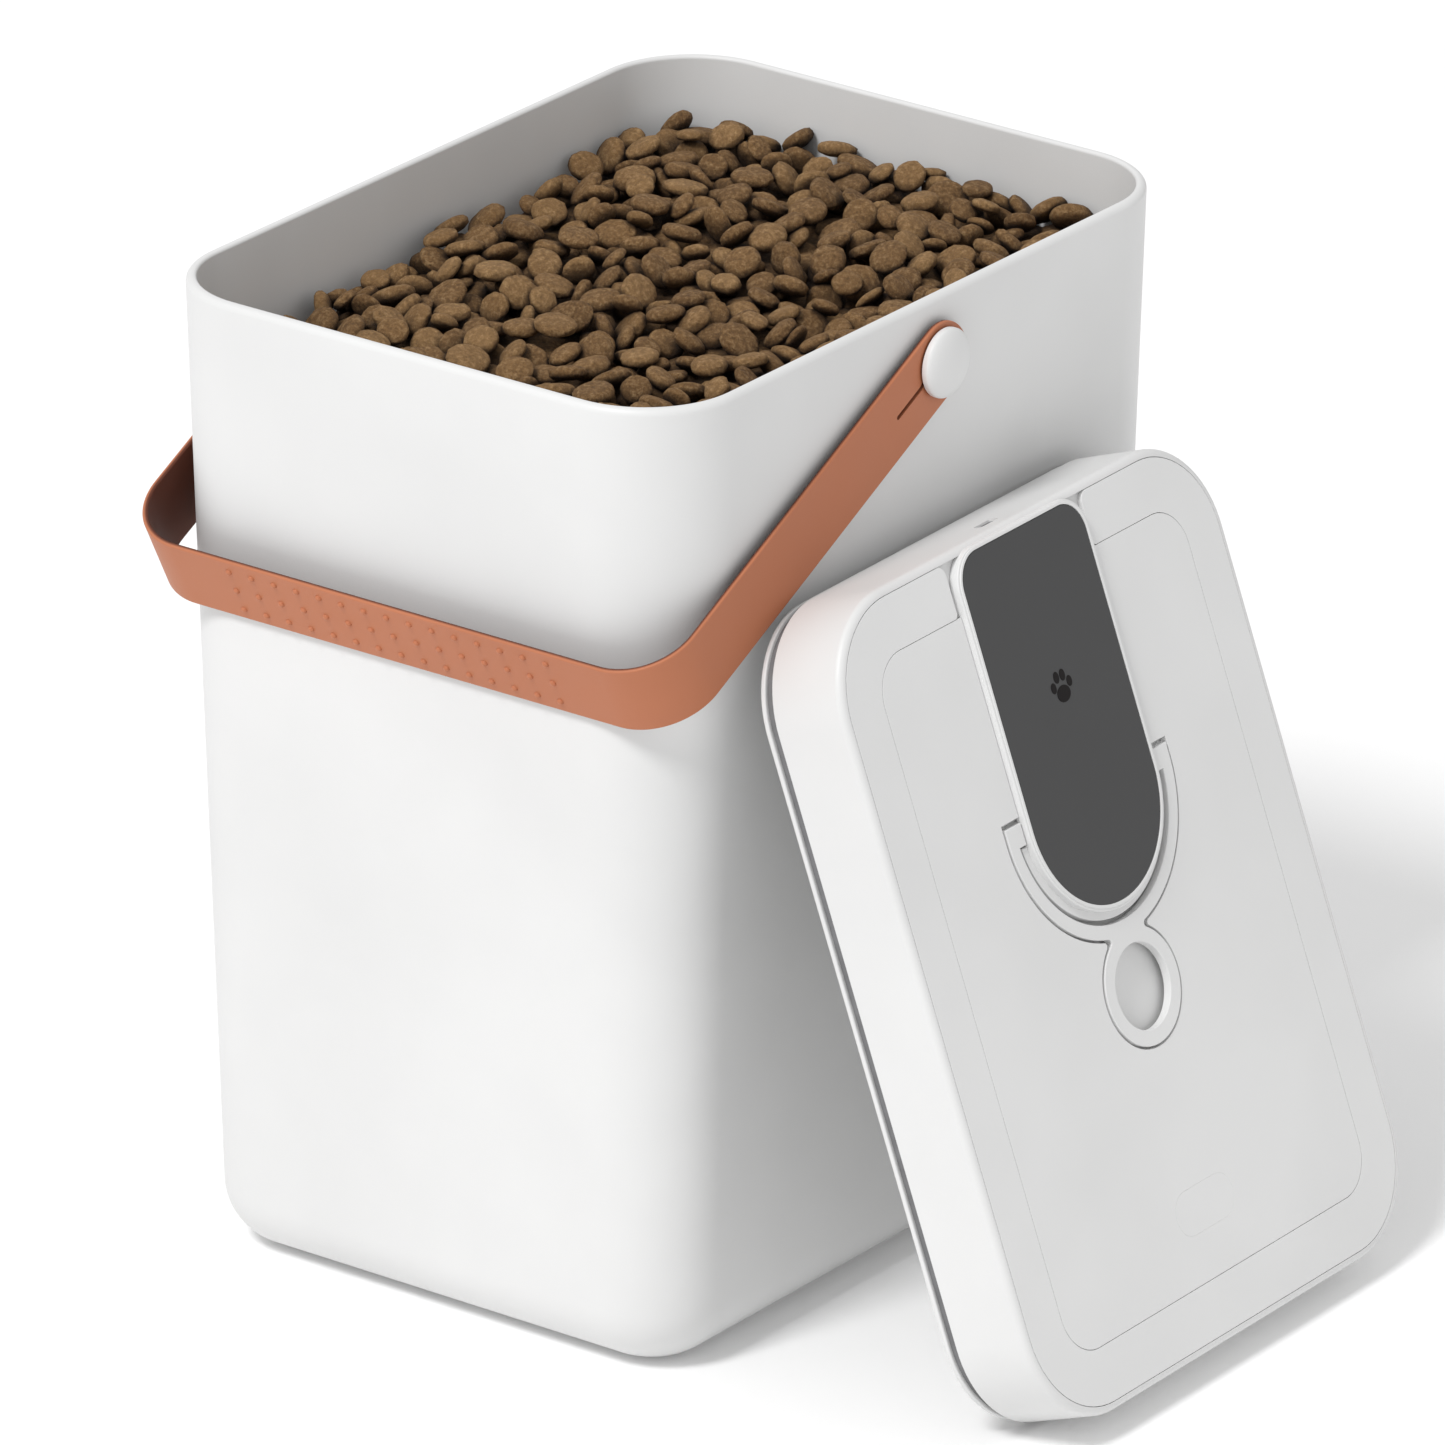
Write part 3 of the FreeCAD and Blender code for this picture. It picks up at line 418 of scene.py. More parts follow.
def board_material():
    """Green circuit board: solder mask over traces, with tinned pads."""
    made = Nodes("circuit_board")
    cells = made.add("ShaderNodeTexVoronoi", feature="DISTANCE_TO_EDGE", distance="CHEBYCHEV")
    cells.inputs["Scale"].default_value = 260
    made.link(made.place, cells.inputs["Vector"])
    traces = made.ramp(cells.outputs["Distance"], [(0.04, (0.03, 0.20, 0.09)),
                                                  (0.07, (0.012, 0.095, 0.045))])
    made.link(traces, made.shader.inputs["Base Color"])
    made.link(made.spread(made.speckle(90), 0.3, 0.4), made.shader.inputs["Roughness"])
    made.relief((cells.outputs["Distance"], 0.3, 0.0001))
    return made.material


white = plastic("white_plastic", (0.70, 0.70, 0.697), 0.46)
face = plastic("lid_face", (0.735, 0.735, 0.732), 0.52)
black = plastic("black_plastic", (0.03, 0.03, 0.032), 0.5)
nylon = plastic("nylon", (0.66, 0.63, 0.57), 0.42, Subsurface_Weight=0.1)
# the last colour is painted shade for the strap's inner face, not a colour of the band itself
terracotta = plastic("terracotta", (0.450, 0.160, 0.078), 0.50, 0.5, 0.05, (0.10, 0.026, 0.012),
                     Specular_IOR_Level=0.3)
smoked = plastic("touch_plate", (0.041, 0.041, 0.042), 0.36, 0.12, 0.04)
mark_ink = plastic("mark", (0.010, 0.008, 0.008), 0.75, Specular_IOR_Level=0.2)
lamp = plastic("lamp", (0.72, 0.78, 0.72), 0.25, 0.1, 0.02, Subsurface_Weight=0.3)
wrap = plastic("cell", (0.06, 0.20, 0.38), 0.3, 0.15, 0.08)
grey_rubber = rubber("gasket", (0.16, 0.16, 0.165))
steel = metal("steel", (0.62, 0.62, 0.61), 0.3)
bright = metal("port_metal", (0.75, 0.75, 0.76), 0.2)
copper = metal("copper_film", (0.72, 0.40, 0.22), 0.35, (14, 1, 1))
food = kibble_material()

# ---------------------------------------------------------------- bin

BIN_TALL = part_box("bin_shell")[1][2] / MM
RIM_HALF, RIM_CORNER = (99.7, 133.1), 33.5
FOOT_HALF, FOOT_CORNER, FOOT_ROUND = (91.8, 122.4), 25, 20
WALL, HAUNCH = 3.4, (12, 14)
LIP_OUTER, LIP_INNER = 2.3, 1.1


def bin_level(height, inset):
    """The tapered bin's outline at a height, drawn in from its outer face."""
    share = height / BIN_TALL
    half_x, half_y = (foot + (rim - foot) * share - inset
                      for foot, rim in zip(FOOT_HALF, RIM_HALF))
    corner = FOOT_CORNER + (RIM_CORNER - FOOT_CORNER) * share - inset
    return [(x, y, height) for x, y in rounded_rectangle(half_x, half_y, max(corner, 3), 20)]


def make_bin():
    """Thin-walled bin with a full round foot and a soft lip."""
    profile = [(y, x) for x, y in arc((FOOT_ROUND, FOOT_ROUND), FOOT_ROUND,
                                      1.5 * math.pi, math.pi, 16)]
    profile += [(FOOT_ROUND + 6, 0), (BIN_TALL / 2, 0), (BIN_TALL - LIP_OUTER - 6, 0)]
    profile += [(y, x) for x, y in arc((LIP_OUTER, BIN_TALL - LIP_OUTER), LIP_OUTER,
                                       math.pi, math.pi / 2, 8)]
    profile += [(y, x) for x, y in arc((WALL - LIP_INNER, BIN_TALL - LIP_INNER), LIP_INNER,
                                       math.pi / 2, 0, 6)]
    profile += [(BIN_TALL - 10, WALL), (BIN_TALL / 2, WALL), (WALL + HAUNCH[1] + 8, WALL)]
    profile += [(WALL + HAUNCH[1], WALL), (WALL + 4, WALL + 5), (WALL, WALL + HAUNCH[0])]
    mesh = loft([bin_level(height, inset) for height, inset in profile])
    piece("bin_body", settle(mesh, BIN, 50), "bin", "white_plastic", white, "bin_shell")


# ---------------------------------------------------------------- food

HEAP_LEVEL, HEAP_RISE, HEAP_REACH, WALL_DROP = 300.5, 0.043, (92, 126), 2.5
SWELL_TALL, SWELL_LONG, SWELL_SEED = 3.2, 45, 0.7
KIBBLE_SEED, KIBBLE_KINDS, KIBBLE_DROPS, KIBBLE_TRIES = 11, 18, 1500, 10
KIBBLE_HALF, KIBBLE_THICK, KIBBLE_SINK = 6.3, 2.6, 0.1
KIBBLE_SIZES = (0.75, 0.88, 0.95, 1.0, 1.03, 1.1)
KIBBLE_LUMPS = ((0.045, 1.4), (0.05, 3.6), (0.055, 6.0))    # how tall and how fine
SIDE_POWER, FACE_POWER = -0.14, 0.85
LYING_SHARE, LEAN_SPREAD, EDGE_LEAN = 0.84, 17, (45, 85)
ROOM, ROOM_CORNER, CELL, HEAP_DEEP = (95.0, 128.2), 29, 1.25, 15
FOOT_CELLS, SLOPE_CELLS = 8, 3
OVER_HEAP, SEEN_DEEP, CORE_DEEP, CORE_GAP = 1.6, 4, 12, 0.4
CORE_RINGS = (1, 0.97, 0.9, 0.8, 0.68, 0.55, 0.42, 0.3, 0.18, 0.06)


def heap_height(x, y):
    """The level of the food: higher at the back, with low swells, lower along the walls."""
    swell = SWELL_TALL * noise.noise(Vector((x / SWELL_LONG, y / SWELL_LONG, SWELL_SEED)))
    wall = max(abs(x) / HEAP_REACH[0], abs(y) / HEAP_REACH[1]) ** 6
    return HEAP_LEVEL + HEAP_RISE * y + swell - WALL_DROP * wall


def kibble_shape(rng):
    """One baked piece: a thick disc with round edges, out of round and lumpy."""
    work = bmesh.new()
    bmesh.ops.create_icosphere(work, subdivisions=3, radius=1)
    points = np.array([v.co for v in work.verts])
    faces = np.array([[v.index for v in f.verts] for f in work.faces])
    work.free()
    long, narrow = rng.uniform(0.96, 1.08), rng.uniform(0.84, 1.0)
    thick = rng.uniform(0.85, 1.12)
    shift = rng.uniform(0, 50)
    layers = [(tall, fine, axis * shift)
              for (tall, fine), axis in zip(KIBBLE_LUMPS, Matrix.Identity(3))]
    grown = []
    for x, y, z in points:
        here = Vector((x, y, z))
        lump = 1
        for tall, fine, offset in layers:
            lump += tall * noise.noise(here * fine + offset)
        girth = max(x * x + y * y, 1e-6) ** SIDE_POWER
        flat = math.copysign(abs(z) ** FACE_POWER, z)
        grown.append((x * KIBBLE_HALF * long * lump * girth,
                      y * KIBBLE_HALF * narrow * lump * girth,
                      flat * KIBBLE_THICK * thick * lump))
    return np.array(grown), faces


def heap_grid():
    """Cell places, the wanted level and the level that the drops start from, walls endless."""
    xs = np.arange(-ROOM[0], ROOM[0], CELL)
    ys = np.arange(-ROOM[1], ROOM[1], CELL)
    want = np.array([[heap_height(x, y) for y in ys] for x in xs])
    over_x = np.maximum(np.abs(xs) - ROOM[0] + ROOM_CORNER, 0)[:, None]
    over_y = np.maximum(np.abs(ys) - ROOM[1] + ROOM_CORNER, 0)[None, :]
    level = np.where(np.hypot(over_x, over_y) < ROOM_CORNER, want - HEAP_DEEP, np.inf)
    return xs, ys, want, level


def around(spot, reach, step=1):
    """The cells about a spot."""
    return tuple(slice(k - reach, k + reach + 1, step) for k in spot)


def lying(level, i, j, rng):
    """How a piece comes to lie: with the slope under it, a little off, now and then on edge."""
    fall = Vector((level[i - SLOPE_CELLS, j] - level[i + SLOPE_CELLS, j],
                   level[i, j - SLOPE_CELLS] - level[i, j + SLOPE_CELLS]))
    run = 2 * SLOPE_CELLS * CELL
    if fall.length > run:
        fall *= run / fall.length
    flat = rng.random() < LYING_SHARE
    lean = rng.gauss(0, LEAN_SPREAD) if flat else rng.uniform(*EDGE_LEAN)
    return (Vector((0, 0, 1)).rotation_difference(Vector((*fall, run))).to_matrix()
            @ Matrix.Rotation(rng.uniform(0, 2 * math.pi), 3, "Z")
            @ Matrix.Rotation(math.radians(lean), 3, "X")
            @ Matrix.Rotation(rng.uniform(0, 2 * math.pi), 3, "Z"))


def falls(level, cells, offsets, half, turn):
    """Where a piece touches down: the cells it covers, its top over them and its height."""
    dx, dy = offsets
    form = np.array(turn) @ np.diag(1 / half ** 2) @ np.array(turn).T
    b = form[0, 2] * dx + form[1, 2] * dy
    c = form[0, 0] * dx ** 2 + 2 * form[0, 1] * dx * dy + form[1, 1] * dy ** 2 - 1
    inside = b ** 2 - form[2, 2] * c
    covered = inside > 0
    root = np.sqrt(np.maximum(inside, 0))
    under, top = (-b - root) / form[2, 2], (-b + root) / form[2, 2]
    return covered, top, (level[cells] - under)[covered].max()


def dropped_pieces(kinds, rng):
    """Drop pieces where the heap is low until it is full, and keep those that can be seen."""
    xs, ys, want, level = heap_grid()
    halves = [np.abs(shape).max(0) for shape, _ in kinds]
    laid = []
    for _ in range(KIBBLE_DROPS):
        spots = [tuple(rng.randrange(SLOPE_CELLS, len(line) - SLOPE_CELLS) for line in (xs, ys))
                 for _ in range(KIBBLE_TRIES)]
        i, j = min(spots, key=lambda spot: (
            level[around(spot, SLOPE_CELLS, SLOPE_CELLS)].mean() - want[spot]))
        kind, size = rng.randrange(KIBBLE_KINDS), rng.choice(KIBBLE_SIZES)
        if not np.isfinite(level[around((i, j), SLOPE_CELLS)]).all():
            continue
        turn = lying(level, i, j, rng)
        cells = (slice(max(i - FOOT_CELLS, 0), i + FOOT_CELLS + 1),
                 slice(max(j - FOOT_CELLS, 0), j + FOOT_CELLS + 1))
        offsets = xs[cells[0], None] - xs[i], ys[None, cells[1]] - ys[j]
        covered, top, height = falls(level, cells, offsets, halves[kind] * size, turn)
        if height + top[covered].max() > want[i, j] + OVER_HEAP:
            continue
        height -= KIBBLE_SINK
        level[cells] = np.where(covered, np.maximum(level[cells], height + top), level[cells])
        laid.append((kind, size, turn, (xs[i], ys[j], height), cells, covered, top))
    return [(kind, size, turn, place) for kind, size, turn, place, cells, covered, top in laid
            if (place[2] + top > level[cells] - SEEN_DEEP)[covered].any()]


def make_kibble():
    """A heap of separate pieces over a solid core that closes the gaps between them."""
    rng = random.Random(KIBBLE_SEED)
    kinds = [kibble_shape(rng) for _ in range(KIBBLE_KINDS)]
    points, faces, tones, used = [], [], [], 0
    for kind, size, turn, place in dropped_pieces(kinds, rng):
        shape, skin = kinds[kind]
        points.append(shape @ np.array(turn).T * size + place)
        faces.append(skin + used)
        tones.append(np.full(len(shape), rng.random()))
        used += len(shape)
    mesh = bpy.data.meshes.new("kibble")
    mesh.from_pydata(np.vstack(points) * MM, [], np.vstack(faces).tolist())
    mesh.attributes.new("tone", "FLOAT", "POINT").data.foreach_set("value", np.hstack(tones))
    mesh.shade_smooth()
    piece("kibble_heap", mesh, "bin", "kibble", food)

    inside = WALL + CORE_GAP
    rings = [bin_level(height, inset) for height, inset in
             ((inside, inside + HAUNCH[0]), (inside + HAUNCH[1], inside))]
    top = bin_level(heap_height(0, 0), inside)
    for share in CORE_RINGS:
        rings.append([(x * share, y * share, heap_height(x * share, y * share) - CORE_DEEP)
                      for x, y, _ in top])
    core = settle(loft(rings), BIN, 60)
    core.attributes.new("tone", "FLOAT", "POINT").data.foreach_set(
        "value", np.zeros(len(core.vertices)))
    piece("kibble_core", core, "bin", "kibble", food, "kibble_fill")


# ---------------------------------------------------------------- carry strap

CAP_SIDE, CAP_DOME, CAP_EDGE = 1.6, 2.9, 0.5
STRAP_HALF, STRAP_REACH, STRAP_BEND = 102.8, 154.3, 22
STRAP_WIDTH, STRAP_THICK, STRAP_EDGE = 25.2, 1.8, 0.55
SLOT_FROM, SLOT_TO, SLOT_WIDE = 3.5, 25.5, 1.5
DOT_ROWS, DOT_COLUMNS, DOT_PITCH, DOT_RADIUS, DOT_RISE = 3, 15, (8.6, 8.1), 1.1, 0.85
DISH_RIM, DISH_DEEP = 12.2, 0.7
CLOSE_STEP, CLOSE_COUNT = 1.5, 15


def make_pivot_caps():
    """White domed studs that hold the strap on."""
    low, high = (np.array(corner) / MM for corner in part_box("pivot_caps"))
    radius, outer = (high[2] - low[2]) / 2, high[0]
    start = outer - CAP_SIDE - CAP_DOME
    profile = [(0.05, start), (radius - CAP_EDGE, start)]
    profile += arc((radius - CAP_EDGE, start + CAP_EDGE), CAP_EDGE, -math.pi / 2, 0, 4)
    dome = [(radius * math.sin(t), start + CAP_SIDE + CAP_DOME * math.cos(t))
            for t in (math.pi / 2 * (1 - k / 14) for k in range(15))]
    profile += dome[:-1] + [(0.05, outer)]
    for side, turn in (("right", math.pi / 2), ("left", -math.pi / 2)):
        place = Matrix.Translation(PIVOT) @ Matrix.Rotation(turn, 4, "Y") @ Matrix.Scale(MM, 4)
        thing = piece("pivot_cap_" + side, settle(turned(profile), place), "bin",
                      "white_plastic", white)
        if side == "right":
            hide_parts("pivot_caps")


def strap_line():
    """Stations along the band's outer face: x, reach, outward direction, half width."""
    full, side = STRAP_WIDTH / 2, STRAP_HALF - STRAP_BEND
    stations = []
    for k in range(17):
        reach = -full * math.cos(math.pi / 2 * k / 16)
        width = math.sqrt(max(full ** 2 - reach ** 2, 0.05))
        stations.append((STRAP_HALF, reach, (1, 0), width))
    straight, close = STRAP_REACH - STRAP_BEND, CLOSE_STEP * CLOSE_COUNT
    stations += [(STRAP_HALF, CLOSE_STEP * k, (1, 0), full) for k in range(1, CLOSE_COUNT + 1)]
    stations += [(STRAP_HALF, close + (straight - close) * k / 14, (1, 0), full)
                 for k in range(1, 14)]
    for k in range(25):
        turn = math.pi / 2 * k / 24
        out = (math.cos(turn), math.sin(turn))
        stations.append((side + STRAP_BEND * out[0], straight + STRAP_BEND * out[1], out, full))
    stations += [(side * (1 - k / 12), STRAP_REACH, (0, 1), full) for k in range(1, 13)]
    return stations + [(-x, reach, (-out[0], out[1]), width)
                       for x, reach, out, width in reversed(stations[:-1])]


def strap_section(width):
    """Outline of the band's cross-section: (across, depth below the outer face)."""
    edge = min(STRAP_EDGE, width * 0.5)
    far = width - edge
    flats = [far * (1 - 2 * k / 13) for k in range(1, 13)]
    right = arc((far, edge), edge, -math.pi / 2, 0, 4)
    right += arc((far, STRAP_THICK - edge), edge, 0, math.pi / 2, 4)
    left = [(-across, STRAP_THICK - depth) for across, depth in right]
    return right + [(a, STRAP_THICK) for a in flats] + left + [(-a, 0) for a in flats]


def strap_point(x, reach, out, across, depth):
    """Where a point of a section lies, with the round dish that each stud sits in."""
    spread = math.hypot(reach, across)
    if abs(x) > STRAP_HALF - 1 and spread < DISH_RIM:
        sink = DISH_DEEP * (1 - (spread / DISH_RIM) ** 4)
        depth = depth + sink if depth < STRAP_THICK / 2 else depth
    return x - out[0] * depth, reach - out[1] * depth, across


def strap_depth(point):
    """How far a point lies within the band's outer face."""
    x, reach = abs(point.x), point.y
    side, straight = STRAP_HALF - STRAP_BEND, STRAP_REACH - STRAP_BEND
    if x > side and reach > straight:
        return STRAP_BEND - math.hypot(x - side, reach - straight)
    return STRAP_HALF - x if reach <= straight else STRAP_REACH - reach


def make_strap():
    """The swinging band: round ends, relief slots and a dotted grip."""
    rings = [[strap_point(x, reach, out, across, depth) for across, depth in strap_section(width)]
             for x, reach, out, width in strap_line()]
    band = settle(loft(rings), Matrix.Identity(4), 40)
    half = (SLOT_TO - SLOT_FROM) / 2
    slot = plate([rounded_rectangle(half, SLOT_WIDE / 2, SLOT_WIDE * 0.49, 6)],
                 -STRAP_HALF - 5, STRAP_HALF + 5, 0.01)
    slot.transform(Matrix(((0, 0, 1, 0), (1, 0, 0, (SLOT_FROM + SLOT_TO) / 2), (0, 1, 0, 0),
                           (0, 0, 0, 1))))
    band = carve(band, settle(slot, Matrix.Identity(4)))
    dots = bmesh.new()
    for row in range(DOT_ROWS):
        for column in range(DOT_COLUMNS):
            spot = Vector(((column - (DOT_COLUMNS - 1) / 2) * DOT_PITCH[0], STRAP_REACH,
                           (row - (DOT_ROWS - 1) / 2) * DOT_PITCH[1]))
            bmesh.ops.create_uvsphere(
                dots, u_segments=14, v_segments=8, radius=DOT_RADIUS,
                matrix=Matrix.Translation(spot) @ Matrix.Diagonal((1, DOT_RISE, 1, 1)))
    bumps = bpy.data.meshes.new("dots")
    dots.to_mesh(bumps)
    dots.free()
    strap = settle(joined(band, bumps), Matrix.Identity(4), 40)
    # marks the band's inner face, which the terracotta material paints dark as shade
    painted_shade_face = [float(strap_depth(v.co) > STRAP_THICK / 2) for v in strap.vertices]
    strap.transform(STRAP)
    strap.attributes.new("inside", "FLOAT", "POINT").data.foreach_set("value", painted_shade_face)
    piece("carry_strap", strap, "handle", "terracotta", terracotta, "handle_strap")


# ---------------------------------------------------------------- lid

LID_HALF, LID_CORNER, LID_EDGE, LID_WALL = (100.4, 130.7), 33.3, 2.4, 2.2
SKIRT, DECK, DECK_UNDER, BAND_INSET, SEAM = 26.6, -1.6, -3.2, 2.6, 0.18
PANEL_HALF, PANEL_CORNER, CHANNEL_HALF = (81, 111), 14, 36
YOKE_MIDDLE, RING_MIDDLE, NOTCH = (0, 41.5), (0, -18.5), 1.2
ARM_TOP, ARM_LOW, ARM_IN = 45.6, 38.6, 34.9
RING_OUTER, RING_HOLE, YOKE_OUTER, YOKE_INNER = 18.5, 13.5, 43, 38.5
HINGE_FROM, HINGE_SHY = 30, 0.5
WELL_GAP, FACE_EDGE, WELL_DEEP = 0.85, 0.13, 0.4
CONSOLE_HALF, CONSOLE_CORNER, CONSOLE_EDGE = 34.4, 12, 0.4
COLLAR_END, COLLAR_HIGH, COLLAR_SHY = 36.9, -0.6, 0.8
PLATE_CORNER, WINDOW_CORNER, BEZEL, BEZEL_STEP = 10.5, 6.7, 1.15, 0.35
PAW_PADS = ((0, -1.9, 3.3, 2.6), (-4.1, 0.9, 1.25, 1.7), (-1.55, 3.6, 1.3, 1.85),
            (1.55, 3.6, 1.3, 1.85), (4.1, 0.9, 1.25, 1.7))
BASE_INSET, BASE_LOW, BASE_HIGH, SINK_RADIUS, SINK_DEEP = 1.25, -32, -30.3, 2.5, 1
SCREW_SPOTS = [(x, y) for x in (-82, 82) for y in (-112, 0, 112)]


def lid_outline(inset):
    """The lid's rounded outline, drawn in by an inset."""
    return rounded_rectangle(LID_HALF[0] - inset, LID_HALF[1] - inset, LID_CORNER - inset, 20)


def ring_side(yoke, ring, top):
    """Right half of the pull ring's outer edge: arm, yoke, the nick below it and the ring."""
    drop = YOKE_MIDDLE[1] - RING_MIDDLE[1]
    along = (drop ** 2 + (yoke + NOTCH) ** 2 - (ring + NOTCH) ** 2) / (2 * drop)
    nick = Vector((math.sqrt((yoke + NOTCH) ** 2 - along ** 2), YOKE_MIDDLE[1] - along))
    to_yoke, to_ring = Vector(YOKE_MIDDLE) - nick, Vector(RING_MIDDLE) - nick
    first = math.atan2(to_yoke.y, to_yoke.x)
    second = math.atan2(to_ring.y, to_ring.x) + 2 * math.pi
    points = [(yoke, top)]
    points += arc(YOKE_MIDDLE, yoke, 0, first - math.pi, 40)
    points += arc(nick, NOTCH, first, second, 8)
    return points + arc(RING_MIDDLE, ring, second - math.pi, -math.pi / 2, 40)


def whole(side):
    """A closed outline from its right half."""
    return without_repeats(side + mirrored(side))


def make_lid_shell():
    """Cover: thin skirt with a soft top edge, a lip around the sunk deck, and the port hole."""
    deck_hole = on_lid("ring_tray")
    profile = [(LID_WALL, -SKIRT), (0.4, -SKIRT), (0.12, -SKIRT + 0.12), (0, -SKIRT + 0.4),
               (0, -14), (0, -LID_EDGE - 3)]
    profile += arc((LID_EDGE, -LID_EDGE), LID_EDGE, math.pi, math.pi / 2, 8)
    profile += [(BAND_INSET - 0.12, 0), (BAND_INSET, -0.12), (BAND_INSET, DECK_UNDER),
                (LID_WALL, DECK_UNDER - 0.5)]
    rings = [[(x, y, z) for x, y in lid_outline(inset)] for inset, z in profile]
    skirt = settle(loft(rings + rings[:1], capped=False), Matrix.Identity(4), 40)
    port_low, port_high = on_lid("charging_port")
    port = rounded_rectangle((port_high[0] - port_low[0]) / 2 + SEAM,
                             (port_high[2] - port_low[2]) / 2 + SEAM, 1.2, 6)
    hole = settle(plate([port], -3 * LID_WALL, 3 * LID_WALL, 0.01), Matrix.Translation(
        (0, LID_HALF[1], (port_low[2] + port_high[2]) / 2)) @ Matrix.Rotation(math.pi / 2, 4, "X"))
    middle = (deck_hole[0][1] + deck_hole[1][1]) / 2
    tray = [(x, y + middle) for x, y in rounded_rectangle(
        (deck_hole[1][0] - deck_hole[0][0]) / 2 + SEAM,
        (deck_hole[1][1] - deck_hole[0][1]) / 2 + SEAM, 4, 6)]
    deck = plate([lid_outline(BAND_INSET - 0.05), tray], DECK_UNDER, DECK, 0.05)
    piece("lid_cover", settle(joined(carve(skirt, hole), deck), LID, 40), "lid",
          "white_plastic", white, "lid_shell")


def make_lid_face():
    """The flush frame, panel, window and tray that make the lid's face."""
    x, y = (half - BAND_INSET - SEAM for half in LID_HALF)
    corner = LID_CORNER - BAND_INSET - SEAM
    px, py = PANEL_HALF
    right = [(x, -y, corner), (x, y, corner), (CHANNEL_HALF, y, 3.5), (CHANNEL_HALF, py, 1.5),
             (px, py, PANEL_CORNER), (px, -py, PANEL_CORNER)]
    left = [(-x, y, corner), (-x, -y, corner)]
    inner_left = [(-px, -py, PANEL_CORNER), (-px, py, PANEL_CORNER), (-CHANNEL_HALF, py, 1.5),
                  (-CHANNEL_HALF, y, 3.5)]
    ring = rounded_polygon(right + inner_left + left)
    piece("face_frame", settle(plate([ring], DECK, 0, FACE_EDGE), LID, 30), "lid", "lid_face",
          face, "lid_top_frame")

    slot, well_top = CONSOLE_HALF + 0.2, ARM_TOP + 2 * WELL_GAP
    px, py, corner = px - SEAM, py - SEAM, PANEL_CORNER - SEAM
    turns = [(-1, 1, math.pi / 2), (-1, -1, math.pi), (1, -1, 1.5 * math.pi), (1, 1, 0)]
    outer = [(-slot, py)]
    for side_x, side_y, start in turns:
        centre = (side_x * (px - corner), side_y * (py - corner))
        outer += arc(centre, corner, start, start + math.pi / 2)
    outer.append((slot, py))
    well = ring_side(YOKE_OUTER + WELL_GAP, RING_OUTER + WELL_GAP, well_top)
    window = on_lid("status_window")
    wx, wy = ((window[1][k] - window[0][k]) / 2 for k in (0, 1))
    wz = (window[0][1] + window[1][1]) / 2
    pill = [(a, b + wz) for a, b in rounded_rectangle(wx, wy, WINDOW_CORNER, 10)]
    around_well = without_repeats(outer + whole([(slot, well_top)] + well))
    panel = plate([around_well, pill], DECK, 0, FACE_EDGE)
    piece("face_panel", settle(panel, LID, 30), "lid", "lid_face", face, "lid_top_panel")
    piece("face_window", settle(plate([pill], DECK, 0, 0.05), LID, 30), "lid", "lid_face", face,
          "status_window")

    low, high = on_lid("ring_tray")
    middle, half_x, half_y = (low[1] + high[1]) / 2, high[0] - 0.1, (high[1] - low[1]) / 2
    rim = [(a, b + middle) for a, b in rounded_rectangle(half_x, half_y, 4, 6)]
    floor = plate([rim], low[2], low[2] + WELL_DEEP, 0.05)
    walls = plate([rim, whole(well)], low[2] + WELL_DEEP / 2, DECK, 0.05)
    piece("ring_well", settle(joined(floor, walls), LID, 30), "lid", "lid_face", face,
          "ring_tray")


def make_console():
    """The low touch console: body with a double border, sunk collar, smoked plate, paw mark."""
    low, high = on_lid("console_body")
    plate_low, plate_high = on_lid("touch_plate")
    top, end = high[1], YOKE_MIDDLE[1]
    half, bed = plate_high[0], plate_low[2]
    opening = tongue(half + 0.1, end, plate_high[1] + 0.1, PLATE_CORNER)
    outer = tongue(CONSOLE_HALF, end, top, CONSOLE_CORNER)
    inner = tongue(half + BEZEL, end, plate_high[1] + BEZEL, PLATE_CORNER + BEZEL)
    body = plate([outer, opening], DECK, high[2] - BEZEL_STEP, CONSOLE_EDGE)
    bezel = plate([inner, opening], bed, high[2], CONSOLE_EDGE / 2)
    floor = plate([inner], DECK, bed, CONSOLE_EDGE / 2)
    start = math.asin((ARM_LOW - COLLAR_SHY - end) / COLLAR_END)
    collar = arc(YOKE_MIDDLE, COLLAR_END, start, -math.pi - start, 60)
    collar = plate([collar], low[2], COLLAR_HIGH, 0.3)
    piece("console", settle(joined(body, bezel, floor, collar), LID, 30), "lid", "lid_face",
          face, "console_body")
    smoked_plate = plate([tongue(half, end, plate_high[1], PLATE_CORNER)], bed, plate_high[2], 0.3)
    piece("console_plate", settle(smoked_plate, LID, 30), "lid", "touch_plate", smoked,
          "touch_plate")
    mark_low, mark_high = on_lid("touch_mark")
    centre = (mark_low + mark_high) / 2
    prints = []
    for x, y, wide, tall in PAW_PADS:
        outline = [(centre[0] + x + wide * c, centre[1] + y + tall * s)
                   for c, s in arc((0, 0), 1, 0, 2 * math.pi, 28)[:-1]]
        prints.append(plate([outline], mark_low[2], mark_high[2], 0.05))
    piece("paw_mark", settle(joined(*prints), LID, 30), "lid", "mark", mark_ink, "touch_mark")


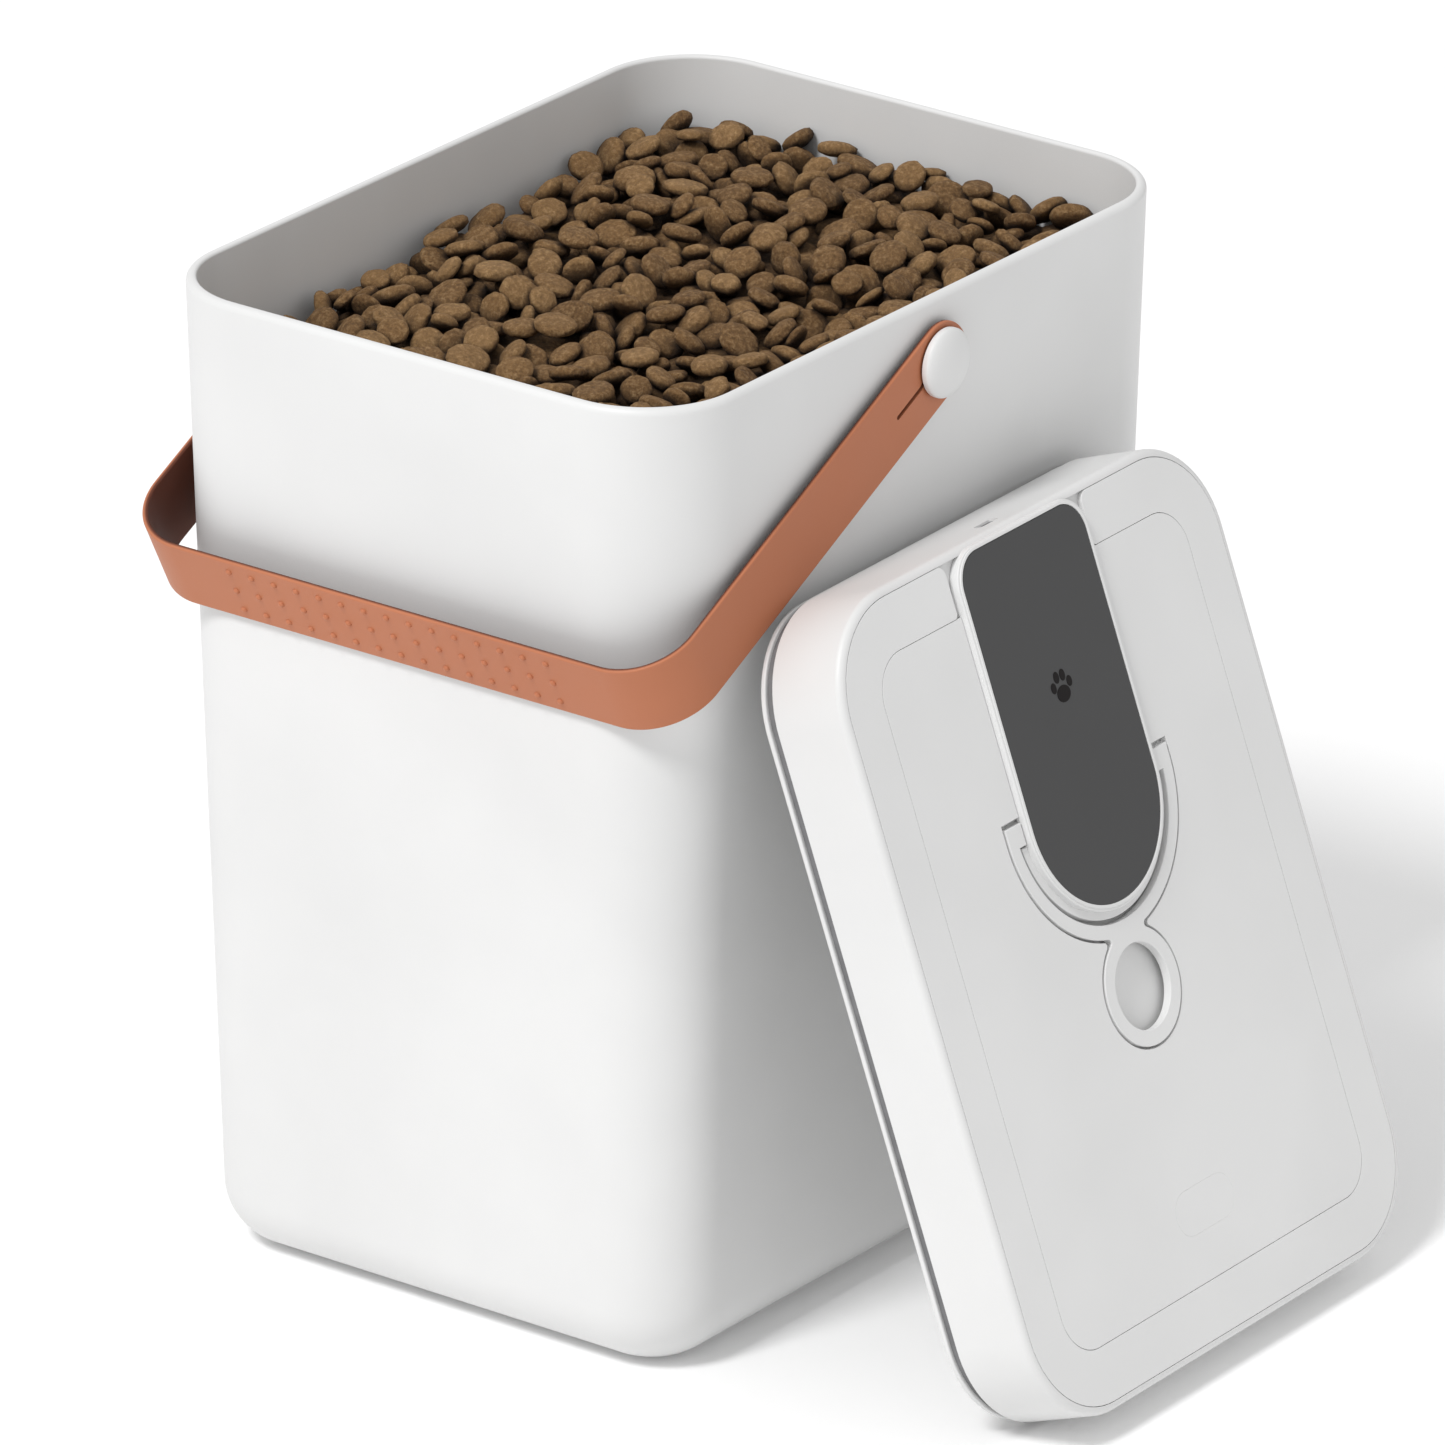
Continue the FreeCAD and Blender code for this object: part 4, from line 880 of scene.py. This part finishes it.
def make_pull_ring():
    """Release ring, a yoke that hooks in to the console joined to a finger ring, and its pins."""
    low, high = on_lid("pull_ring")
    end = math.asin((ARM_LOW - YOKE_MIDDLE[1]) / YOKE_INNER)
    inside = arc(YOKE_MIDDLE, YOKE_INNER, math.pi - end, 2 * math.pi + end, 60)
    hook = [(-YOKE_OUTER, ARM_TOP), (-ARM_IN, ARM_TOP), (-ARM_IN, ARM_LOW)]
    outline = ring_side(YOKE_OUTER, RING_OUTER, ARM_TOP)
    outline = without_repeats(outline + mirrored(outline) + hook + inside + mirrored(hook))
    hole = arc(RING_MIDDLE, RING_HOLE, 0, 2 * math.pi, 72)[:-1]
    mesh = plate([outline, hole], low[2], high[2], 0.25)
    piece("release_ring", settle(mesh, LID, 30), "pull_ring", "lid_face", face, "pull_ring")
    low, high = on_lid("ring_hinge_pins")
    radius, centre = (high[2] - low[2]) / 2, (low + high) / 2
    for side, start, end in (("right", HINGE_FROM, high[0] - HINGE_SHY),
                             ("left", low[0] + HINGE_SHY, -HINGE_FROM)):
        pin = turned([(0.02, start), (radius, start), (radius, end), (0.02, end)], 24)
        place = LID @ Matrix.Translation((0, centre[1], centre[2])) @ Matrix.Rotation(
            math.pi / 2, 4, "Y")
        thing = piece("hinge_pin_" + side, settle(pin, place), "lid", "steel", steel)
        if side == "right":
            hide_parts("ring_hinge_pins")


def band(inset, wall, low, high, edge):
    """A ring that follows the lid's outline."""
    return plate([lid_outline(inset), lid_outline(inset + wall)], low, high, edge)


def make_underside():
    """The lid's base with its neck and rib, and the two seals."""
    body = settle(plate([lid_outline(BASE_INSET)], BASE_LOW, BASE_HIGH, 0.5), Matrix.Identity(4))
    neck, rib = band(3.4, 1.6, -30.4, -24.6, 0.1), band(6.6, 2, -33.6, -31.9, 0.4)
    out, bed = BASE_LOW - 2, BASE_LOW + SINK_DEEP
    for x, y in SCREW_SPOTS:
        sink = turned([(0.05, out), (SINK_RADIUS, out), (SINK_RADIUS, bed), (0.05, bed)], 32)
        body = carve(body, settle(sink, Matrix.Translation((x, y, 0))))
    piece("lid_underside", settle(joined(body, neck, rib), LID, 30), "lid", "white_plastic",
          white, "lid_base")
    gasket = band(2.3, 1.1, BASE_HIGH, -SKIRT, 0.3)
    piece("skirt_gasket", settle(gasket, LID, 30), "lid", "gasket", grey_rubber, "lid_gasket")
    piece("rim_lip_seal", settle(band(4.6, 2, -33, -32, 0.35), LID, 30), "lid", "gasket",
          grey_rubber, "rim_seal")


# ---------------------------------------------------------------- nodes shown as they are

SHOWN = {
    steel: ("pivot_pins", "base_screws", "pump_motor", "pump_shaft", "valve_spring"),
    bright: ("charging_port", "pressure_sensor"),
    nylon: ("pivot_washers", "strap_bushes", "valve_stem", "pump_crank"),
    black: ("battery_cradle", "pump_head", "inlet_filter", "valve_seat"),
    grey_rubber: ("suction_tube", "valve_disc"),
    copper: ("touch_sensor",),
    board_material(): ("circuit_board",),
    lamp: ("status_light",),
    wrap: ("battery_cell",),
}


def dress_nodes():
    """Materials of the CAD nodes that stay in the picture."""
    for material, names in SHOWN.items():
        for name in names:
            data = frame["nodes"][name].data
            data.materials.clear()
            data.materials.append(material)


# ---------------------------------------------------------------- stage, light and camera

TARGET = Vector((0, 0, 0.160))
AZIMUTH, ELEVATION, DISTANCE = math.radians(37.03), math.radians(22.61), 4.9246
LENS, SENSOR = 398.04, 36
PAN, TILT, ROLL = math.radians(-0.19), math.radians(-0.04), math.radians(0.04)
KEY_SPOT, KEY_AIM, KEY_SIZE, KEY_POWER = (-0.35, -5.5, 7.3), (0, 0, 0.15), 2.4, 480
FLOOR_REACH, FLOOR_SINK, FLOOR_GLOW, SKY_POWER = 6, 0.0002, 0.08, 0.68


def make_camera():
    """A long lens to the front right, a little above the bin."""
    back = Vector((math.sin(AZIMUTH) * math.cos(ELEVATION),
                   -math.cos(AZIMUTH) * math.cos(ELEVATION), math.sin(ELEVATION)))
    forward = -back
    right = forward.cross(Vector((0, 0, 1))).normalized()
    up = right.cross(forward)
    pan = Matrix.Rotation(PAN, 3, up)
    forward, right = pan @ forward, pan @ right
    tilt = Matrix.Rotation(TILT, 3, right)
    forward, up = tilt @ forward, tilt @ up
    roll = Matrix.Rotation(ROLL, 3, -forward)
    right, up = roll @ right, roll @ up
    data = bpy.data.cameras.new("camera")
    data.lens, data.sensor_width = LENS, SENSOR
    data.clip_start, data.clip_end = 0.1, 60
    camera = bpy.data.objects.new("camera", data)
    turn = Matrix((right, up, -forward)).transposed().to_4x4()
    camera.matrix_world = Matrix.Translation(TARGET + back * DISTANCE) @ turn
    scene.collection.objects.link(camera)
    scene.camera = camera


def make_light():
    """One large soft light from high on the front left."""
    data = bpy.data.lights.new("key", "AREA")
    data.shape = "DISK"
    data.size = KEY_SIZE
    data.energy = KEY_POWER
    light = bpy.data.objects.new("key", data)
    light.location = KEY_SPOT
    light.rotation_euler = (Vector(KEY_AIM) - Vector(KEY_SPOT)).to_track_quat("-Z", "Y").to_euler()
    scene.collection.objects.link(light)


def make_stage():
    """Pale floor and white surroundings."""
    reach = FLOOR_REACH
    floor = bpy.data.meshes.new("floor")
    floor.from_pydata([(-reach, -reach, 0), (reach, -reach, 0), (reach, reach, 0),
                       (-reach, reach, 0)], [], [(0, 1, 2, 3)])
    pale = Nodes("floor")
    pale.link(pale.ramp(pale.speckle(2), [(0.3, (0.90, 0.90, 0.90)), (0.7, (0.92, 0.92, 0.92))]),
              pale.shader.inputs["Base Color"])
    pale.shader.inputs["Roughness"].default_value = 0.9
    pale.shader.inputs["Emission Color"].default_value = (1, 1, 1, 1)
    pale.shader.inputs["Emission Strength"].default_value = FLOOR_GLOW
    floor.materials.append(pale.material)
    ground = bpy.data.objects.new("floor", floor)
    ground.location = (0, 0, -FLOOR_SINK)
    scene.collection.objects.link(ground)
    world = bpy.data.worlds.new("surroundings")
    world.use_nodes = True
    sky = world.node_tree.nodes["Background"]
    sky.inputs["Color"].default_value = (1, 1, 1, 1)
    sky.inputs["Strength"].default_value = SKY_POWER
    scene.world = world
    scene.view_settings.view_transform = "Standard"


# ---------------------------------------------------------------- build

make_camera()
make_stage()
make_light()
make_bin()
make_kibble()
make_pivot_caps()
make_strap()
make_lid_shell()
make_lid_face()
make_console()
make_pull_ring()
make_underside()
dress_nodes()
